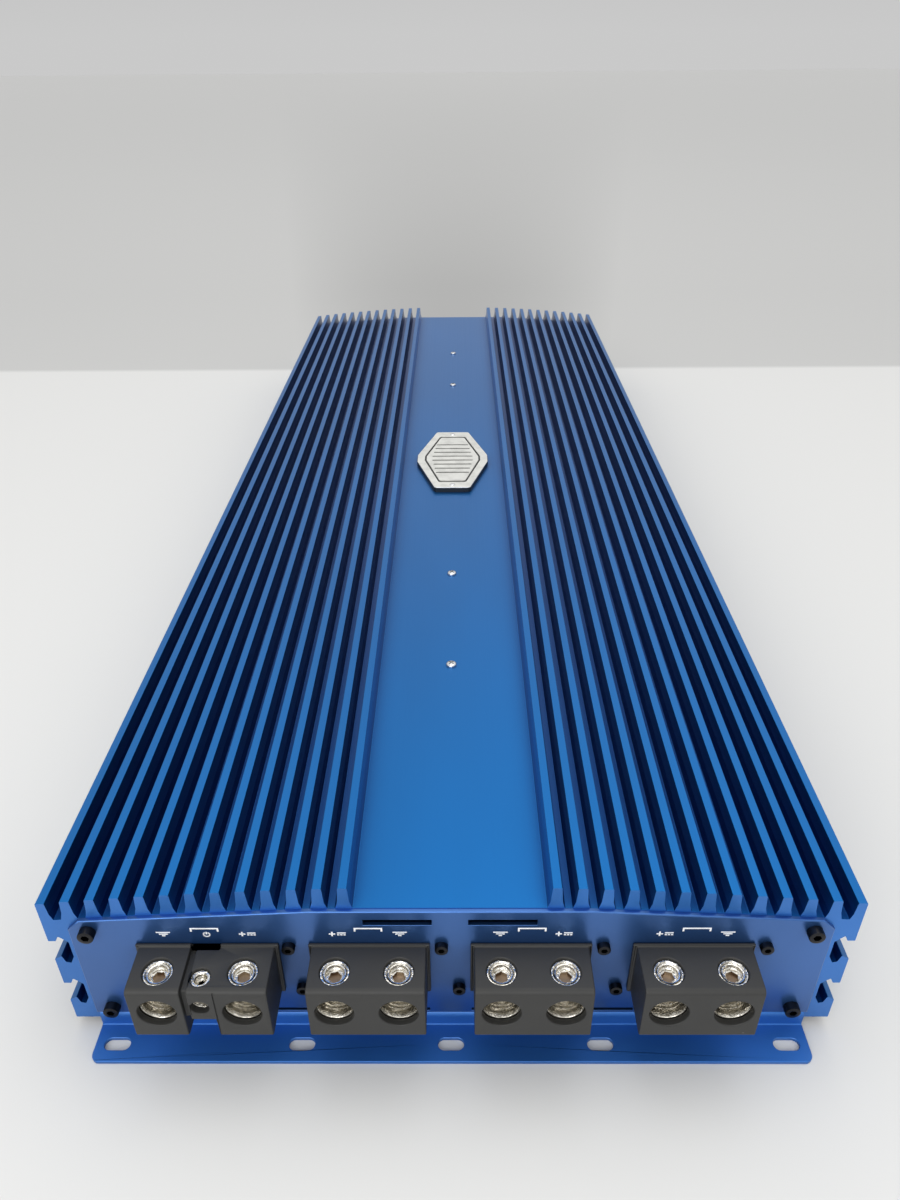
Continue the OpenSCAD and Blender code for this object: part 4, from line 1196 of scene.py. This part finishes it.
def make_stage():
    """A pale floor. Past the far end it has a wall's darker grey, with a soft shade behind the case."""
    s = Shader("floor", FLOOR_COLOUR, 0.55)

    def math_node(operation, *values, clamp=False):
        made = s.node("ShaderNodeMath")
        made.operation = operation
        made.use_clamp = clamp
        for socket, value in zip(made.inputs, values):
            if isinstance(value, float):
                socket.default_value = value
            else:
                s.link(value, socket)
        return made.outputs["Value"]

    where = s.node("ShaderNodeTexCoord").outputs["Object"]
    split = s.node("ShaderNodeSeparateXYZ", Vector=where)
    nearness = math_node("DIVIDE", 1.0, math_node("ADD", split.outputs["Y"], 0.5625))
    sideways = math_node("MULTIPLY", split.outputs["X"], nearness)
    narrowing, fading, fade_end, darkening = -32.6, 1.6, -0.19, -0.27
    hump = math_node("MULTIPLY_ADD", math_node("MULTIPLY", sideways, sideways), narrowing, 1.0, clamp=True)
    fade = math_node("MULTIPLY_ADD", nearness, fading, fade_end, clamp=True)
    shadow = math_node("MULTIPLY_ADD", math_node("MULTIPLY", hump, fade), darkening, 1.0)
    tone = s.ramp(nearness, [(at, (level, level, level * 0.985)) for at, level in WALL_TONES])
    wall = s.node("ShaderNodeVectorMath")
    wall.operation = "SCALE"
    s.link(tone, wall.inputs[0])
    s.link(shadow, wall.inputs["Scale"])
    far = s.node("ShaderNodeMapRange", Value=split.outputs["Y"], From_Min=WALL_FROM, From_Max=WALL_TO)
    blend = s.node("ShaderNodeMix")
    blend.data_type = "RGBA"
    blend.inputs[6].default_value = (*FLOOR_COLOUR, 1)
    s.link(far.outputs["Result"], blend.inputs[0])
    s.link(wall.outputs["Vector"], blend.inputs[7])
    s.link(blend.outputs[2], s.bsdf.inputs["Base Color"])
    floor = new_object("floor", box_bmesh((-6, -6, -0.02), (6, 9, 0)), s.material)
    floor.parent = None


def area_light(name, place_at, target, size, power):
    data = bpy.data.lights.new(name, "AREA")
    data.shape = "RECTANGLE"
    data.size, data.size_y = size
    data.energy = power
    light = linked(name, data)
    light.location = place_at
    light.rotation_euler = (Vector(target) - Vector(place_at)).to_track_quat("-Z", "Y").to_euler()


def make_lights():
    """A grey studio all round, dark low down, with one light overhead and one at the front left."""
    world = bpy.data.worlds.new("studio")
    bpy.context.scene.world = world
    world.use_nodes = True
    tree = world.node_tree
    back = tree.nodes["Background"]
    where = tree.nodes.new("ShaderNodeTexCoord")
    split = tree.nodes.new("ShaderNodeSeparateXYZ")
    ramp = tree.nodes.new("ShaderNodeValToRGB")
    tree.links.new(where.outputs["Generated"], split.inputs["Vector"])
    tree.links.new(split.outputs["Z"], ramp.inputs["Fac"])
    levels = [(0.0, 0.51), (0.10, 0.46), (0.20, 0.32), (0.30, 0.38), (0.47, 0.80), (0.73, 1.0), (1.0, 0.85)]
    fill_ramp(ramp, [(height, (level, level, level)) for height, level in levels])
    tree.links.new(ramp.outputs["Color"], back.inputs["Color"])
    back.inputs["Strength"].default_value = 1.15
    area_light("overhead", (0.15, 0.1, 2.1), (0, 0, 0), (1.2, 1.2), 8)
    area_light("front", (-0.5, -2.0, 0.9), (0, -0.3, 0), (1.6, 1.0), 19)


def make_camera():
    data = bpy.data.cameras.new("camera")
    camera = linked("camera", data)
    bpy.context.scene.camera = camera
    data.sensor_width = 36
    data.lens = 900 / 1200 * 36
    camera.location = CAMERA_AT
    camera.rotation_euler = [radians(a) for a in CAMERA_TURN]


make_stage()
make_lights()
make_camera()
bpy.context.scene.view_settings.view_transform = "Standard"
bpy.context.view_layer.update()
